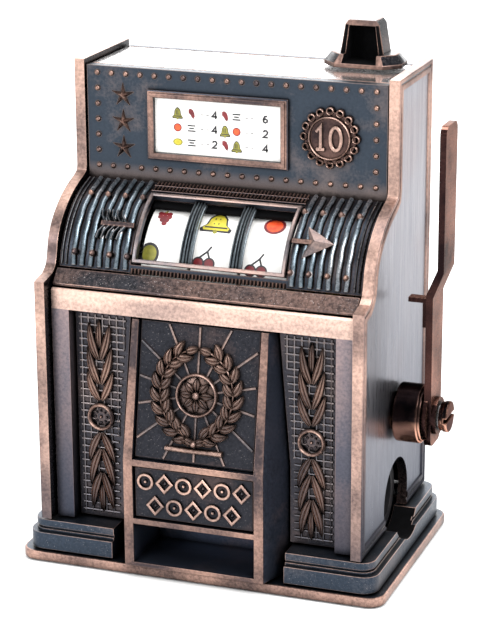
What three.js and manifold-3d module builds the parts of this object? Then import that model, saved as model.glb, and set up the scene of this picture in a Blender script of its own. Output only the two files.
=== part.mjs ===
// Miniature die-cast slot machine with a pencil sharpener in its base.
// Millimetres, +Z up. The front of the machine looks along -Y and +X is the lever side.
// While the pieces are being made, y = 0 is the front edge of the lower side bands and y grows
// towards the back. Every piece is moved back by half the depth at the end, so that the origin
// is in the middle of the base plate, on its underside.
import * as THREE from 'three';
import { mergeVertices } from 'three/addons/utils/BufferGeometryUtils.js';
import ManifoldModule from 'manifold-3d';

// ---------------------------------------------------------------- driving dimensions
const half_depth = 18;

const cabinet_half_width = 26.45;
const side_thickness = 1.7;
const cabinet_depth = 35.1;
const side_top = 77.3;
const side_bottom = 6.95;
const knee_height = 45.9;
const upper_front = 17.1;
const gap = 0.3;

const base_plate_half_width = 30;
const base_plate_front = -1.1;
const base_plate_back = 37.1;
const base_plate_thickness = 1.6;
const base_corner_radius = 2.6;

const moulding_top = 6.65;
const moulding_step = 4.65;
const block_half_width = 28.8;
const strip_half_width = 28.1;

const frame_front = 1.9;
const frame_back = 5.6;
const stile_inner = 21.6;
const rail_top = 44.55;
const rail_bottom = 41.3;
const lattice_front = 3.9;

const wedge_front = -2;
const wedge_knee = 19.5;
const wedge_half_width_top = 11;
const wedge_half_width_low = 11.4;
const wedge_draft = 0.35;
const wedge_inner_half_width = 9.9;
const wedge_bottom = 1.9;
const panel_recess = 1.2;
const upper_bar = [18.55, 19.6];
const lower_bar = [9.0, 9.9];
const payout_depth = 8.6;

const lever_y = 18.5;
const lever_z = 24.9;
const reel_y = 18.5;
const gear_module = 1;
const sector_teeth_full_circle = 22;
const sector_teeth = 8;
const pinion_teeth = 18;
const reel_z = lever_z + gear_module * (sector_teeth_full_circle + pinion_teeth) / 2;
const pressure_angle = THREE.MathUtils.degToRad(25);
const tooth_backlash = 0.14;
const gear_x = [17.1, 19.4];

const reel_radius = 11.25;
const reel_width = 7.4;
const reel_pitch = 8.1;
const reel_shaft_radius = 1.5;
const hood_inner_radius = 12.2;
const hood_radius = 13.4;
const rib_radius = 14.05;
const hood_angles = [107.5, 165.5];
const award_front = 17.5;
const window_half_width = 11.75;
const window_frame_half_width = 12.4;
const window_angles = [110.8, 163.6];
const window_rim_angle = 2.7;
const window_frame_radii = [12.3, 13.95];
const divider_width = 2;
const divider_radius = 13.1;
const apron_radii = [11.75, 12.4];
const apron_angle = 6.5;
const rib_pitch = 1.48;
const rib_width = 0.8;
const ribs_per_side = 7;
const first_rib = 13.25;

const boss_radius = 4.65;
const boss_x = [cabinet_half_width + gap, 31.15];
const axle_radius = 1.7;
const running_gap = 0.04;
const neck_gap = 0.3;

const pencil_y = 18.8;
const pencil_z = 10.3;
const pencil_hole_radius = 6.4;

// ---------------------------------------------------------------- solids
const wasm = await ManifoldModule();
wasm.setup();

function solid(geometry) {
  let g = geometry.clone();
  g.deleteAttribute('normal');
  g.deleteAttribute('uv');
  g = mergeVertices(g, 1e-5);
  const mesh = new wasm.Mesh({
    numProp: 3,
    vertProperties: new Float32Array(g.attributes.position.array),
    triVerts: new Uint32Array(g.index.array),
  });
  return new wasm.Manifold(mesh);
}

function join(solids) {
  return solids.reduce((whole, next) => whole.add(next));
}

function cut(body, tools) {
  return tools.reduce((rest, tool) => rest.subtract(tool), body);
}

function outline(points, holes = []) {
  const shape = new THREE.Shape(points.map(([a, b]) => new THREE.Vector2(a, b)));
  for (const hole of holes) {
    shape.holes.push(new THREE.Path(hole.map(([a, b]) => new THREE.Vector2(a, b))));
  }
  return shape;
}

function extrude(points, length, holes) {
  const settings = { depth: length, bevelEnabled: false, steps: 1, curveSegments: 12 };
  return new THREE.ExtrudeGeometry(outline(points, holes), settings);
}

// points are (y, z); the slab runs along X
function slab_x(points, x0, x1, holes) {
  const g = extrude(points, x1 - x0, holes);
  const turn = new THREE.Matrix4().makeBasis(
    new THREE.Vector3(0, 1, 0), new THREE.Vector3(0, 0, 1), new THREE.Vector3(1, 0, 0));
  return solid(g.applyMatrix4(turn).translate(x0, 0, 0));
}

// points are (x, z); the slab runs along Y
function slab_y(points, y0, y1, holes) {
  const g = extrude(points, y1 - y0, holes);
  return solid(g.rotateX(Math.PI / 2).translate(0, y1, 0));
}

// points are (x, y); the slab stands along Z
function slab_z(points, z0, z1, holes) {
  return solid(extrude(points, z1 - z0, holes).translate(0, 0, z0));
}

function block(x, y, z) {
  const g = new THREE.BoxGeometry(x[1] - x[0], y[1] - y[0], z[1] - z[0]);
  return solid(g.translate((x[0] + x[1]) / 2, (y[0] + y[1]) / 2, (z[0] + z[1]) / 2));
}

function rod_x(y, z, radius, x0, x1, sides = 28) {
  const g = new THREE.CylinderGeometry(radius, radius, x1 - x0, sides);
  return solid(g.rotateZ(Math.PI / 2).translate((x0 + x1) / 2, y, z));
}

function rod_z(x, y, radius, z0, z1, sides = 20) {
  const g = new THREE.CylinderGeometry(radius, radius, z1 - z0, sides);
  return solid(g.rotateX(Math.PI / 2).translate(x, y, (z0 + z1) / 2));
}

function rectangle(a0, a1, b0, b1) {
  return [[a0, b0], [a1, b0], [a1, b1], [a0, b1]];
}

function rounded_rectangle(a0, a1, b0, b1, radius, steps = 5) {
  const corners = [
    [a1 - radius, b0 + radius, -90], [a1 - radius, b1 - radius, 0],
    [a0 + radius, b1 - radius, 90], [a0 + radius, b0 + radius, 180],
  ];
  const points = [];
  for (const [a, b, start] of corners) {
    for (let i = 0; i <= steps; i += 1) {
      const angle = THREE.MathUtils.degToRad(start + 90 * i / steps);
      points.push([a + radius * Math.cos(angle), b + radius * Math.sin(angle)]);
    }
  }
  return points;
}

function circle(a, b, radius, sides = 24) {
  const points = [];
  for (let i = 0; i < sides; i += 1) {
    const angle = 2 * Math.PI * i / sides;
    points.push([a + radius * Math.cos(angle), b + radius * Math.sin(angle)]);
  }
  return points;
}

function star(a, b, outer, inner, turn = 0, arms = 5) {
  const points = [];
  for (let i = 0; i < 2 * arms; i += 1) {
    const radius = i % 2 ? inner : outer;
    const angle = Math.PI / 2 + turn + Math.PI * i / arms;
    points.push([a + radius * Math.cos(angle), b + radius * Math.sin(angle)]);
  }
  return points;
}

function mirrored(body) {
  return body.mirror([1, 0, 0]);
}

// ---------------------------------------------------------------- finishes
const finish = {
  gunmetal: { color: 0x3b3e47, roughness: 0.42, metalness: 0.85 },
  rubbed_copper: { color: 0xb98a77, roughness: 0.38, metalness: 0.9 },
  brown_copper: { color: 0x7c5a4e, roughness: 0.36, metalness: 0.9 },
  brushed_side: { color: 0x8f8d96, roughness: 0.34, metalness: 0.85 },
  polished_top: { color: 0xb9b6b4, roughness: 0.16, metalness: 0.9 },
  steel: { color: 0xb9bcc0, roughness: 0.3, metalness: 0.95 },
  brass: { color: 0xb8954e, roughness: 0.35, metalness: 0.9 },
  white_card: { color: 0xf2efe8, roughness: 0.75, metalness: 0 },
  white_plastic: { color: 0xe9e7e0, roughness: 0.5, metalness: 0 },
  black_plastic: { color: 0x24252a, roughness: 0.5, metalness: 0 },
};

const machine = new THREE.Group();
machine.name = 'slot_machine_sharpener';

function add(name, body, look) {
  const mesh = body.getMesh();
  const geometry = new THREE.BufferGeometry();
  geometry.setAttribute('position', new THREE.BufferAttribute(new Float32Array(mesh.vertProperties), 3));
  geometry.setIndex(new THREE.BufferAttribute(new Uint32Array(mesh.triVerts), 1));
  geometry.translate(0, -half_depth, 0);
  geometry.computeVertexNormals();
  const piece = new THREE.Mesh(geometry, new THREE.MeshStandardMaterial(finish[look]));
  piece.name = name;
  machine.add(piece);
}

// ---------------------------------------------------------------- side panels
const hood_curve = [
  [3.0, 46.5], [4.3, 47.4], [4.95, 49.0], [5.5, 51.2], [6.75, 53.4], [8.6, 55.3],
  [11.0, 57.0], [13.6, 58.25], [16.0, 59.1], [16.9, 59.6],
];
const side_outline = [
  [0, side_bottom], [cabinet_depth, side_bottom], [cabinet_depth, side_top], [upper_front, side_top],
  [upper_front, 60.4], ...hood_curve.slice().reverse(), [0, knee_height],
];
const side_recess = [
  [1.6, side_bottom + 1.2], [cabinet_depth - 1.2, side_bottom + 1.2],
  [cabinet_depth - 1.2, side_top - 1.2], [upper_front + 1.4, side_top - 1.2],
  [upper_front + 1.4, 59.4], [16.4, 57.8], [13.9, 56.9], [11.6, 55.8], [9.7, 54.3], [8.1, 52.6],
  [7.0, 50.6], [6.5, 48.4], [5.8, 46.4], [4.2, 45.2], [1.6, 44.6],
];
const recess_depth = 0.35;

function side_panel() {
  const plate = slab_x(side_outline, cabinet_half_width - side_thickness, cabinet_half_width);
  const recess = slab_x(side_recess, cabinet_half_width - recess_depth, cabinet_half_width + 1);
  return plate.subtract(recess);
}

const boss_neck_radius = 3;
const boss_hole = rod_x(lever_y, lever_z, boss_neck_radius + neck_gap, 20, 30);
const pencil_hole = rod_x(pencil_y, pencil_z, pencil_hole_radius, 20, 32, 36);
add('side_panel_left', mirrored(side_panel()), 'brushed_side');
add('side_panel_right', cut(side_panel(), [boss_hole, pencil_hole]), 'brushed_side');

// ---------------------------------------------------------------- base
const screw_radius = 0.9;
const screw_head_radius = 1.7;
const screw_places = [[-22.5, 11], [22.5, 8.5], [-22.5, 30.5], [22.5, 30.5]];
const screw_hole_radius = screw_radius + 0.15;
const screw_sink_radius = screw_head_radius + 0.2;
const screw_sink_top = 0.9;

function base_plate() {
  const shape = rounded_rectangle(-base_plate_half_width, base_plate_half_width,
    base_plate_front, base_plate_back, base_corner_radius);
  const plate = slab_z(shape, 0, base_plate_thickness);
  const holes = screw_places.map(([x, y]) => rod_z(x, y, screw_hole_radius, -1, 3, 12));
  const sinks = screw_places.map(([x, y]) => rod_z(x, y, screw_sink_radius, -1, screw_sink_top, 16));
  return cut(plate, [...holes, ...sinks]);
}
add('base_plate', base_plate(), 'rubbed_copper');

const block_y = [-0.5, 36.5];
const strip_y = [0.2, 35.8];
const moulding_inner_half_width = 24.4;
const moulding_inner_back = 33.1;
const wedge_notch_half_width = 14.2;
const groove_z = [moulding_step + 0.45, moulding_step + 0.8];
const groove_depth = 0.3;
const post_radius = 1.9;
const post_z = [base_plate_thickness + gap, moulding_top - 0.4];

// post for one base screw, tied to the wall beside it
function screw_post([x, y]) {
  const wall_x = Math.sign(x) * (moulding_inner_half_width + 0.6);
  const web = block([Math.min(x, wall_x), Math.max(x, wall_x)], [y - 1.2, y + 1.2], post_z);
  return rod_z(x, y, post_radius, ...post_z).add(web);
}

function base_moulding() {
  const lower = slab_z(rounded_rectangle(-block_half_width, block_half_width, ...block_y, 2.5),
    base_plate_thickness + gap, moulding_step);
  const upper = slab_z(rounded_rectangle(-strip_half_width, strip_half_width, ...strip_y, 2.2),
    moulding_step - 0.2, moulding_top);
  const inside = block([-moulding_inner_half_width, moulding_inner_half_width],
    [frame_back + gap, moulding_inner_back], [0, 9]);
  const wedge_notch = block([-wedge_notch_half_width, wedge_notch_half_width], [-3, 7], [0, 9]);
  const far = block_half_width + 5;
  const groove_floor = rounded_rectangle(-strip_half_width + groove_depth, strip_half_width - groove_depth,
    strip_y[0] + groove_depth, strip_y[1] - groove_depth, 2);
  const groove = slab_z(rectangle(-far, far, -far, 2 * far), ...groove_z, [groove_floor]);
  const screw_holes = screw_places.map(([x, y]) => rod_z(x, y, screw_hole_radius, 0, moulding_top - 1.4));
  const ring = cut(lower.add(upper), [inside, wedge_notch, groove]);
  return cut(join([ring, ...screw_places.map(screw_post)]), [pencil_hole, ...screw_holes]);
}
add('base_moulding', base_moulding(), 'gunmetal');

function base_screw([x, y]) {
  const head = rod_z(x, y, screw_head_radius, 0.15, 0.75, 16);
  const shank = rod_z(x, y, screw_radius, 0.7, 4.6, 12);
  const slot = block([x - 2, x + 2], [y - 0.2, y + 0.2], [0, 0.4]);
  return head.add(shank).subtract(slot);
}
screw_places.forEach((place, i) => add(`base_screw_${i + 1}`, base_screw(place), 'steel'));

// ---------------------------------------------------------------- lower front
const frame_half_width = cabinet_half_width - side_thickness - gap;

function front_frame() {
  const top = slab_x([[frame_front, rail_bottom], [frame_back, rail_bottom], [frame_back, rail_top - 0.3],
    [frame_front + 0.5, rail_top], [frame_front, rail_top - 0.3]], -frame_half_width, frame_half_width);
  const stile = block([stile_inner, frame_half_width], [frame_front, frame_back],
    [moulding_top + gap, rail_top - 0.35]);
  return join([top, stile, mirrored(stile)]);
}
add('front_frame', front_frame(), 'rubbed_copper');


function wedge_width_at(z) {
  const share = Math.min(1, Math.max(0, (rail_bottom - z) / (rail_bottom - wedge_knee)));
  return wedge_half_width_top + share * (wedge_half_width_low - wedge_half_width_top);
}

function wedge_root_at(z) {
  const share = Math.min(1, Math.max(0, (rail_bottom - z) / (rail_bottom - wedge_knee)));
  const front = frame_front + share * (wedge_front - frame_front);
  return wedge_width_at(z) + wedge_draft * (lattice_front - front);
}

const lattice_edge_clearance = 0.35;
const leaf_x = 17.3;
const leaf_ring_z = 23.8;
const leaf_half_width = 0.62;
// root and tip of each pair, counted from the ring, and how far the tips stand apart from the middle
const leaf_pairs = [[9.4, 15.2, 1.7], [5.4, 11.5, 1.95], [2.7, 7.6, 2.1]];
const end_leaf = [11.4, 15.9];
const leaf_root_offset = 0.2;
const lattice_bar_width = 0.3;
const lattice_pitch = 2.4;

// outline of a leaf, widest a little below its middle
function leaf_outline([a, b], [tip_a, tip_b], half_width) {
  const along = [tip_a - a, tip_b - b];
  const length = Math.hypot(...along);
  const side = [-along[1] / length, along[0] / length];
  const station = (share, width) =>
    [a + along[0] * share + side[0] * width, b + along[1] * share + side[1] * width];
  return [[a, b], station(0.42, -half_width), station(0.75, -0.75 * half_width), [tip_a, tip_b],
    station(0.75, 0.75 * half_width), station(0.42, half_width)];
}

function lattice_leaf(root_x, root, tip_x, tip, way) {
  const place = (x, distance) => [x, leaf_ring_z + way * distance];
  const shape = leaf_outline(place(root_x, root), place(tip_x, tip), leaf_half_width);
  return slab_y(shape, lattice_front - 0.9, lattice_front + 0.2);
}

function leaf_spray(way) {
  const leaves = [lattice_leaf(leaf_x, end_leaf[0], leaf_x, end_leaf[1], way)];
  for (const [root, tip, apart] of leaf_pairs) {
    for (const hand of [-1, 1]) {
      leaves.push(lattice_leaf(leaf_x + hand * leaf_root_offset, root, leaf_x + hand * apart, tip, way));
    }
  }
  return leaves;
}

function lattice_panel() {
  const top = rail_bottom - gap;
  const bottom = moulding_top + gap;
  const edge = (z) => wedge_root_at(z) + lattice_edge_clearance;
  const outer = stile_inner - gap;
  const shape = [[edge(bottom), bottom], [outer, bottom], [outer, top], [edge(top), top],
    [edge(wedge_knee), wedge_knee]];
  const plate = slab_y(shape, lattice_front, frame_back - 0.3);
  const bars = [];
  for (let z = bottom + 1.1; z < top - 0.6; z += lattice_pitch) {
    const x0 = edge(z) + 0.5;
    bars.push(block([x0, stile_inner - 0.7], [lattice_front - 0.3, lattice_front + 0.2],
      [z, z + lattice_bar_width]));
  }
  const ring = slab_y(circle(leaf_x, leaf_ring_z, 2.1), lattice_front - 1.1, lattice_front + 0.2,
    [circle(leaf_x, leaf_ring_z, 1.5)]);
  return join([plate, ...bars, ...leaf_spray(1), ...leaf_spray(-1), ring]);
}
add('lattice_panel_right', lattice_panel(), 'gunmetal');
add('lattice_panel_left', mirrored(lattice_panel()), 'gunmetal');

// the hull of two bodies gives the drafted side walls of the centre section
function centre_section() {
  const back = 5.3;
  const halves = [];
  const stations = [[rail_bottom - gap, wedge_knee], [wedge_knee, wedge_bottom]];
  for (const [upper, lower] of stations) {
    const corners = [];
    for (const z of [upper, lower]) {
      const share = Math.min(1, (rail_bottom - z) / (rail_bottom - wedge_knee));
      const front = frame_front + share * (wedge_front - frame_front);
      const width = wedge_width_at(z);
      const root = wedge_root_at(z);
      for (const side of [-1, 1]) {
        corners.push([side * width, front, z], [side * root, lattice_front, z], [side * root, back, z]);
      }
    }
    halves.push(wasm.Manifold.hull(corners));
  }
  const payout_box = block([-wedge_inner_half_width - 1.3, wedge_inner_half_width + 1.3],
    [3, payout_depth + 1.2], [wedge_bottom, 12.2]);
  return join([...halves, payout_box]);
}

// tilt of the upper part of the centre section
const panel_tilt = Math.atan2(frame_front - wedge_front, rail_bottom - wedge_knee);
const emblem_zone = [upper_bar[1], rail_bottom + 1];

function front_cutter(z0, z1, depth) {
  const share0 = Math.min(1, (rail_bottom - z0) / (rail_bottom - wedge_knee));
  const share1 = Math.min(1, (rail_bottom - z1) / (rail_bottom - wedge_knee));
  const y0 = frame_front + share0 * (wedge_front - frame_front) + depth;
  const y1 = frame_front + share1 * (wedge_front - frame_front) + depth;
  return slab_x([[-6, z0], [y0, z0], [y1, z1], [-6, z1]], -wedge_inner_half_width, wedge_inner_half_width);
}

function centre_casting() {
  const emblem_pocket = front_cutter(emblem_zone[0], emblem_zone[1], panel_recess);
  const name_pocket = front_cutter(lower_bar[1], upper_bar[0], panel_recess);
  const payout = slab_x([[-6, wedge_bottom + 0.7], [payout_depth, wedge_bottom + 0.7],
    [payout_depth, 4.8], [1.2, lower_bar[0]], [-6, lower_bar[0]]],
    -wedge_inner_half_width, wedge_inner_half_width);
  return cut(centre_section(), [emblem_pocket, name_pocket, payout]);
}
add('centre_section', centre_casting(), 'rubbed_copper');

// laurel wreath round a rosette, on plain rays, lying in the tilted pocket
const emblem_thickness = 0.35;
const emblem_middle = 10.5;
const ray_count = 14;
const ray_half_width = 0.2;
const wreath_radii = [5.9, 6.8];
const wreath_from = -80;
const wreath_sweep = 150;
const wreath_pairs = 9;
const wreath_leaf = [2.3, 1.35];
const stem_half_width = 0.3;
const rosette_radius = 3.1;
const rosette_petals = 8;
const emblem_bar = rectangle(-4.6, 4.6, 1.5, 2.3);
const relief_root = 0.1;

function emblem_rays(half, length) {
  const rays = [];
  for (let i = 0; i < ray_count; i += 1) {
    const angle = 2 * Math.PI * (i + 0.5) / ray_count;
    const c = Math.cos(angle);
    const s = Math.sin(angle);
    const to_side = (half - 0.2) / Math.max(0.02, Math.abs(c));
    const to_end = (s > 0 ? length - emblem_middle : emblem_middle) / Math.max(0.02, Math.abs(s)) - 0.2;
    const ray = rectangle(2.5, Math.min(to_side, to_end), -ray_half_width, ray_half_width);
    const turned = ray.map(([a, b]) => [a * c - b * s, emblem_middle + a * s + b * c]);
    rays.push(slab_y(turned, -0.25, relief_root));
  }
  return rays;
}

function wreath_branch(side) {
  const on_stem = (share, outwards = 0) => {
    const angle = THREE.MathUtils.degToRad(wreath_from + wreath_sweep * share);
    const radii = wreath_radii.map((radius) => radius + outwards);
    return [side * radii[0] * Math.cos(angle), emblem_middle + 0.2 + radii[1] * Math.sin(angle)];
  };
  const shares = [];
  for (let i = -1; i < 2 * wreath_pairs; i += 1) shares.push(i / (2 * wreath_pairs - 2));
  const outer = shares.map((share) => on_stem(share, stem_half_width));
  const inner = shares.map((share) => on_stem(share, -stem_half_width));
  const stem = slab_y([...outer, ...inner.reverse()], -0.95, relief_root);
  const leaves = [stem];
  for (let i = 0; i < wreath_pairs; i += 1) {
    const root = on_stem(i / wreath_pairs);
    const ahead = on_stem((i + 0.5) / wreath_pairs);
    const step = [ahead[0] - root[0], ahead[1] - root[1]];
    const length = Math.hypot(...step);
    const along = [step[0] / length, step[1] / length];
    for (const hand of [-1, 1]) {
      const tip = [root[0] + along[0] * wreath_leaf[0] - along[1] * wreath_leaf[1] * hand,
        root[1] + along[1] * wreath_leaf[0] + along[0] * wreath_leaf[1] * hand];
      leaves.push(slab_y(leaf_outline(root, tip, 0.6), -0.85, relief_root));
    }
  }
  return leaves;
}

function rosette() {
  const parts = [slab_y(circle(0, emblem_middle, rosette_radius, 28), -0.45, relief_root)];
  for (let i = 0; i < rosette_petals; i += 1) {
    const angle = 2 * Math.PI * i / rosette_petals;
    const [root, tip] = [0.4, 2.75].map((r) => [r * Math.cos(angle), emblem_middle + r * Math.sin(angle)]);
    parts.push(slab_y(leaf_outline(root, tip, 0.6), -1.0, relief_root));
  }
  parts.push(slab_y(circle(0, emblem_middle, 0.8, 12), -1.3, relief_root));
  return parts;
}

function emblem_plate() {
  const length = (emblem_zone[1] - 1 - emblem_zone[0]) / Math.cos(panel_tilt) - 0.9;
  const half = wedge_inner_half_width - gap;
  const plate = slab_y(rectangle(-half, half, 0, length), 0, emblem_thickness);
  const bar = slab_y(emblem_bar, -0.7, relief_root);
  const relief = [...emblem_rays(half, length), ...wreath_branch(-1), ...wreath_branch(1), ...rosette(), bar];
  const body = join([plate, ...relief]);
  const share = (rail_bottom - emblem_zone[0]) / (rail_bottom - wedge_knee);
  const y = frame_front + share * (wedge_front - frame_front) + panel_recess - emblem_thickness - 0.15;
  return body.rotate([-THREE.MathUtils.radToDeg(panel_tilt), 0, 0]).translate([0, y, emblem_zone[0] + 0.4]);
}
add('emblem_plate', emblem_plate(), 'gunmetal');

// two rows of plain raised lozenges and rings
function ornament_plate() {
  const half = wedge_inner_half_width - gap;
  const z0 = lower_bar[1] + gap;
  const z1 = upper_bar[0] - gap;
  const back = wedge_front + panel_recess - gap;
  const front = back - emblem_thickness;
  const parts = [slab_y(rectangle(-half, half, z0, z1), front, back)];
  const rows = [z0 + 2.1, z1 - 2.1];
  for (const z of rows) {
    for (let i = -2; i <= 2; i += 1) {
      const x = 3.6 * i;
      const is_ring = Math.abs(i) % 2 === 0;
      const shape = is_ring ? circle(x, z, 1.35, 12) : star(x, z, 1.6, 0.8, 0, 4);
      const holes = is_ring ? [circle(x, z, 0.95, 12)] : [];
      parts.push(slab_y(shape, front - 0.4, front + 0.1, holes));
    }
  }
  return join(parts);
}
add('ornament_plate', ornament_plate(), 'gunmetal');

// ---------------------------------------------------------------- deck and reel hood
const deck_back = [4.4, 47.15];

function deck_ledge() {
  const profile = [[frame_front + 0.6, rail_top + gap], [6.3, rail_top + gap], [6.3, 46.6], deck_back,
    [frame_front + 0.6, rail_top + 0.65]];
  return slab_x(profile, -frame_half_width, frame_half_width);
}
add('deck_ledge', deck_ledge(), 'gunmetal');

function on_arc(radius, degrees) {
  const angle = THREE.MathUtils.degToRad(degrees);
  return [reel_y + radius * Math.cos(angle), reel_z + radius * Math.sin(angle)];
}

function arc(radius, from, to, steps) {
  const points = [];
  for (let i = 0; i <= steps; i += 1) {
    points.push(on_arc(radius, from + (to - from) * i / steps));
  }
  return points;
}

const hood_top_run = 3.9;
const hood_bottom_run = 1.1;

// curved strip that follows the hood, with straight ends along the tangents
function hood_strip(inner, outer, top_run, bottom_run, steps = 8) {
  const [upper, lower] = hood_angles;
  const up = THREE.MathUtils.degToRad(upper - 90);
  const down = THREE.MathUtils.degToRad(lower + 90);
  const top = (r) => {
    const [y, z] = on_arc(r, upper);
    return [y + top_run * Math.cos(up), z + top_run * Math.sin(up)];
  };
  const bottom = (r) => {
    const [y, z] = on_arc(r, lower);
    return [y + bottom_run * Math.cos(down), z + bottom_run * Math.sin(down)];
  };
  return [top(outer), ...arc(outer, upper, lower, steps), bottom(outer), bottom(inner),
    ...arc(inner, lower, upper, steps), top(inner)];
}

function window_wedge(half_width, angles, inner, outer) {
  const profile = [...arc(outer, angles[0], angles[1], 8), ...arc(inner, angles[1], angles[0], 8)];
  return slab_x(profile, -half_width, half_width);
}

// a raised arrow seems to pass behind the window: its head is on the right, its feathered tail on the left
const arrow_angle = 140;
const arrow_head = [[12.9, -0.35], [16.3, -0.35], [15.4, -2.5], [19.3, 0], [15.4, 2.5], [16.3, 0.35],
  [12.9, 0.35]];
const arrow_tail = rectangle(-18.2, -12.9, -0.35, 0.35);
const arrow_height = 0.95;
const barb_count = 5;
const first_barb = -14.3;
const barb_pitch = 0.85;
const barb_half_width = 0.22;

function barb(x, side) {
  const line = [[x, 0.2], [x - 0.75, 1.25], [x - 1, 2.3]];
  const near = line.map(([a, b]) => [a + barb_half_width, side * b]);
  const far = line.map(([a, b]) => [a - barb_half_width, side * b]);
  return [...near, ...far.reverse()];
}

function on_arrow_plane(shape) {
  const [y, z] = on_arc(hood_radius, arrow_angle);
  return slab_z(shape, -0.6, arrow_height).rotate([arrow_angle - 90, 0, 0]).translate([0, y, z]);
}

function arrow() {
  const shapes = [arrow_head, arrow_tail];
  for (let i = 0; i < barb_count; i += 1) {
    const x = first_barb - barb_pitch * i;
    shapes.push(barb(x, 1), barb(x, -1));
  }
  return shapes.map(on_arrow_plane);
}

function reel_hood() {
  const shell_strip = hood_strip(hood_inner_radius, hood_radius, hood_top_run, hood_bottom_run);
  const shell = slab_x(shell_strip, -frame_half_width, frame_half_width);
  const ribs = [];
  const rib_strip = hood_strip(hood_radius - 0.3, rib_radius, hood_top_run - 1.5, hood_bottom_run - 0.3, 6);
  for (let i = 0; i < ribs_per_side; i += 1) {
    const x = first_rib + rib_pitch * i;
    const rib = slab_x(rib_strip, x - rib_width / 2, x + rib_width / 2);
    ribs.push(rib, mirrored(rib));
  }
  const opening_angles = [window_angles[0] - 1.4, window_angles[1] + 1.4];
  const through = [hood_inner_radius - 2, rib_radius + 2];
  const opening = window_wedge(window_frame_half_width + gap, opening_angles, ...through);
  const behind_award_panel = block([-cabinet_half_width, cabinet_half_width],
    [award_front - gap, cabinet_depth], [reel_z, side_top]);
  return cut(join([shell, ...ribs, ...arrow()]), [opening, behind_award_panel]);
}
add('reel_hood', reel_hood(), 'gunmetal');

function window_frame() {
  const outer = window_wedge(window_frame_half_width, window_angles, ...window_frame_radii);
  const openings = [];
  const opening_angles = [window_angles[0] + window_rim_angle, window_angles[1] - window_rim_angle];
  const through = [window_frame_radii[0] - 1, window_frame_radii[1] + 1];
  const centres = [-reel_pitch, 0, reel_pitch];
  for (const centre of centres) {
    const x0 = Math.max(-window_half_width, centre - reel_pitch / 2 + divider_width / 2);
    const x1 = Math.min(window_half_width, centre + reel_pitch / 2 - divider_width / 2);
    const hole = window_wedge(1, opening_angles, ...through);
    openings.push(hole.scale([(x1 - x0) / 2, 1, 1]).translate([(x0 + x1) / 2, 0, 0]));
  }
  // the two dividers lie deeper than the rim, and an apron hangs behind its upper edge
  const divider_recess = window_wedge(window_half_width, opening_angles, divider_radius, through[1]);
  const apron_angles = [window_angles[0], window_angles[0] + apron_angle];
  const apron = window_wedge(window_half_width, apron_angles, ...apron_radii);
  return cut(outer, [...openings, divider_recess]).add(apron);
}
add('window_frame', window_frame(), 'rubbed_copper');

// ---------------------------------------------------------------- award panel
const award_bottom = 57.6;
const award_top = 76.4;
const card_middle = [-2.75, 67.7];
const card_half = [10.4, 4.35];
const medallion_at = [15.5, 67.8];
const bead_columns = 20;
const bead_rows = 7;
const bead_half_span = 22.7;
const bead_z = [60.55, 75.3];
const star_x = -18.45;
const first_star_z = 63.65;
const star_pitch = 4.15;
const star_radius = 1.95;
const star_inner_radius = 0.68;

function bead(x, z) {
  const g = new THREE.CylinderGeometry(0.47, 0.24, 0.55, 6);
  return solid(g.translate(x, award_front - 0.2, z));
}

function award_panel() {
  const plate = block([-frame_half_width, frame_half_width], [award_front, award_front + 1.5],
    [award_bottom, award_top]);
  const beads = [];
  for (let i = 0; i < bead_columns; i += 1) {
    const x = -bead_half_span + 2 * bead_half_span * i / (bead_columns - 1);
    beads.push(bead(x, bead_z[0]), bead(x, bead_z[1]));
  }
  for (let i = 1; i < bead_rows - 1; i += 1) {
    const z = bead_z[0] + (bead_z[1] - bead_z[0]) * i / (bead_rows - 1);
    beads.push(bead(-bead_half_span, z), bead(bead_half_span, z));
  }
  const stars = [];
  for (let i = 0; i < 3; i += 1) {
    const shape = star(star_x, first_star_z + star_pitch * i, star_radius, star_inner_radius);
    stars.push(slab_y(shape, award_front - 0.55, award_front + 0.2));
  }
  const seat_half = card_half.map((half) => half + 0.2);
  const card_seat = block([card_middle[0] - seat_half[0], card_middle[0] + seat_half[0]],
    [award_front - 1, award_front + 0.5], [card_middle[1] - seat_half[1], card_middle[1] + seat_half[1]]);
  return cut(join([plate, ...beads, ...stars]), [card_seat]);
}
add('award_panel', award_panel(), 'gunmetal');

const card_frame_width = 1.1;
const card_frame_outer = [card_half[0] + card_frame_width, card_half[1] + card_frame_width];

function card_frame() {
  const [x, z] = card_middle;
  const outer = rectangle(x - card_frame_outer[0], x + card_frame_outer[0], z - card_frame_outer[1],
    z + card_frame_outer[1]);
  const hole = rectangle(x - card_half[0] + 0.15, x + card_half[0] - 0.15, z - card_half[1] + 0.15,
    z + card_half[1] - 0.15);
  return slab_y(outer, award_front - 0.85, award_front - 0.1, [hole]);
}
add('card_frame', card_frame(), 'rubbed_copper');
add('award_card', block([card_middle[0] - card_half[0], card_middle[0] + card_half[0]],
  [award_front + 0.05, award_front + 0.3], [card_middle[1] - card_half[1], card_middle[1] + card_half[1]]),
  'white_card');

const numeral_one = [[-1.75, -1.8], [-0.95, -1.8], [-0.95, 1.8], [-1.5, 1.8], [-2.1, 1.25], [-2.1, 0.7],
  [-1.75, 0.95]];
const numeral_height = 0.9;

function ellipse(a, b, radius_a, radius_b) {
  return circle(0, 0, 1, 18).map(([u, v]) => [a + radius_a * u, b + radius_b * v]);
}

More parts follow.
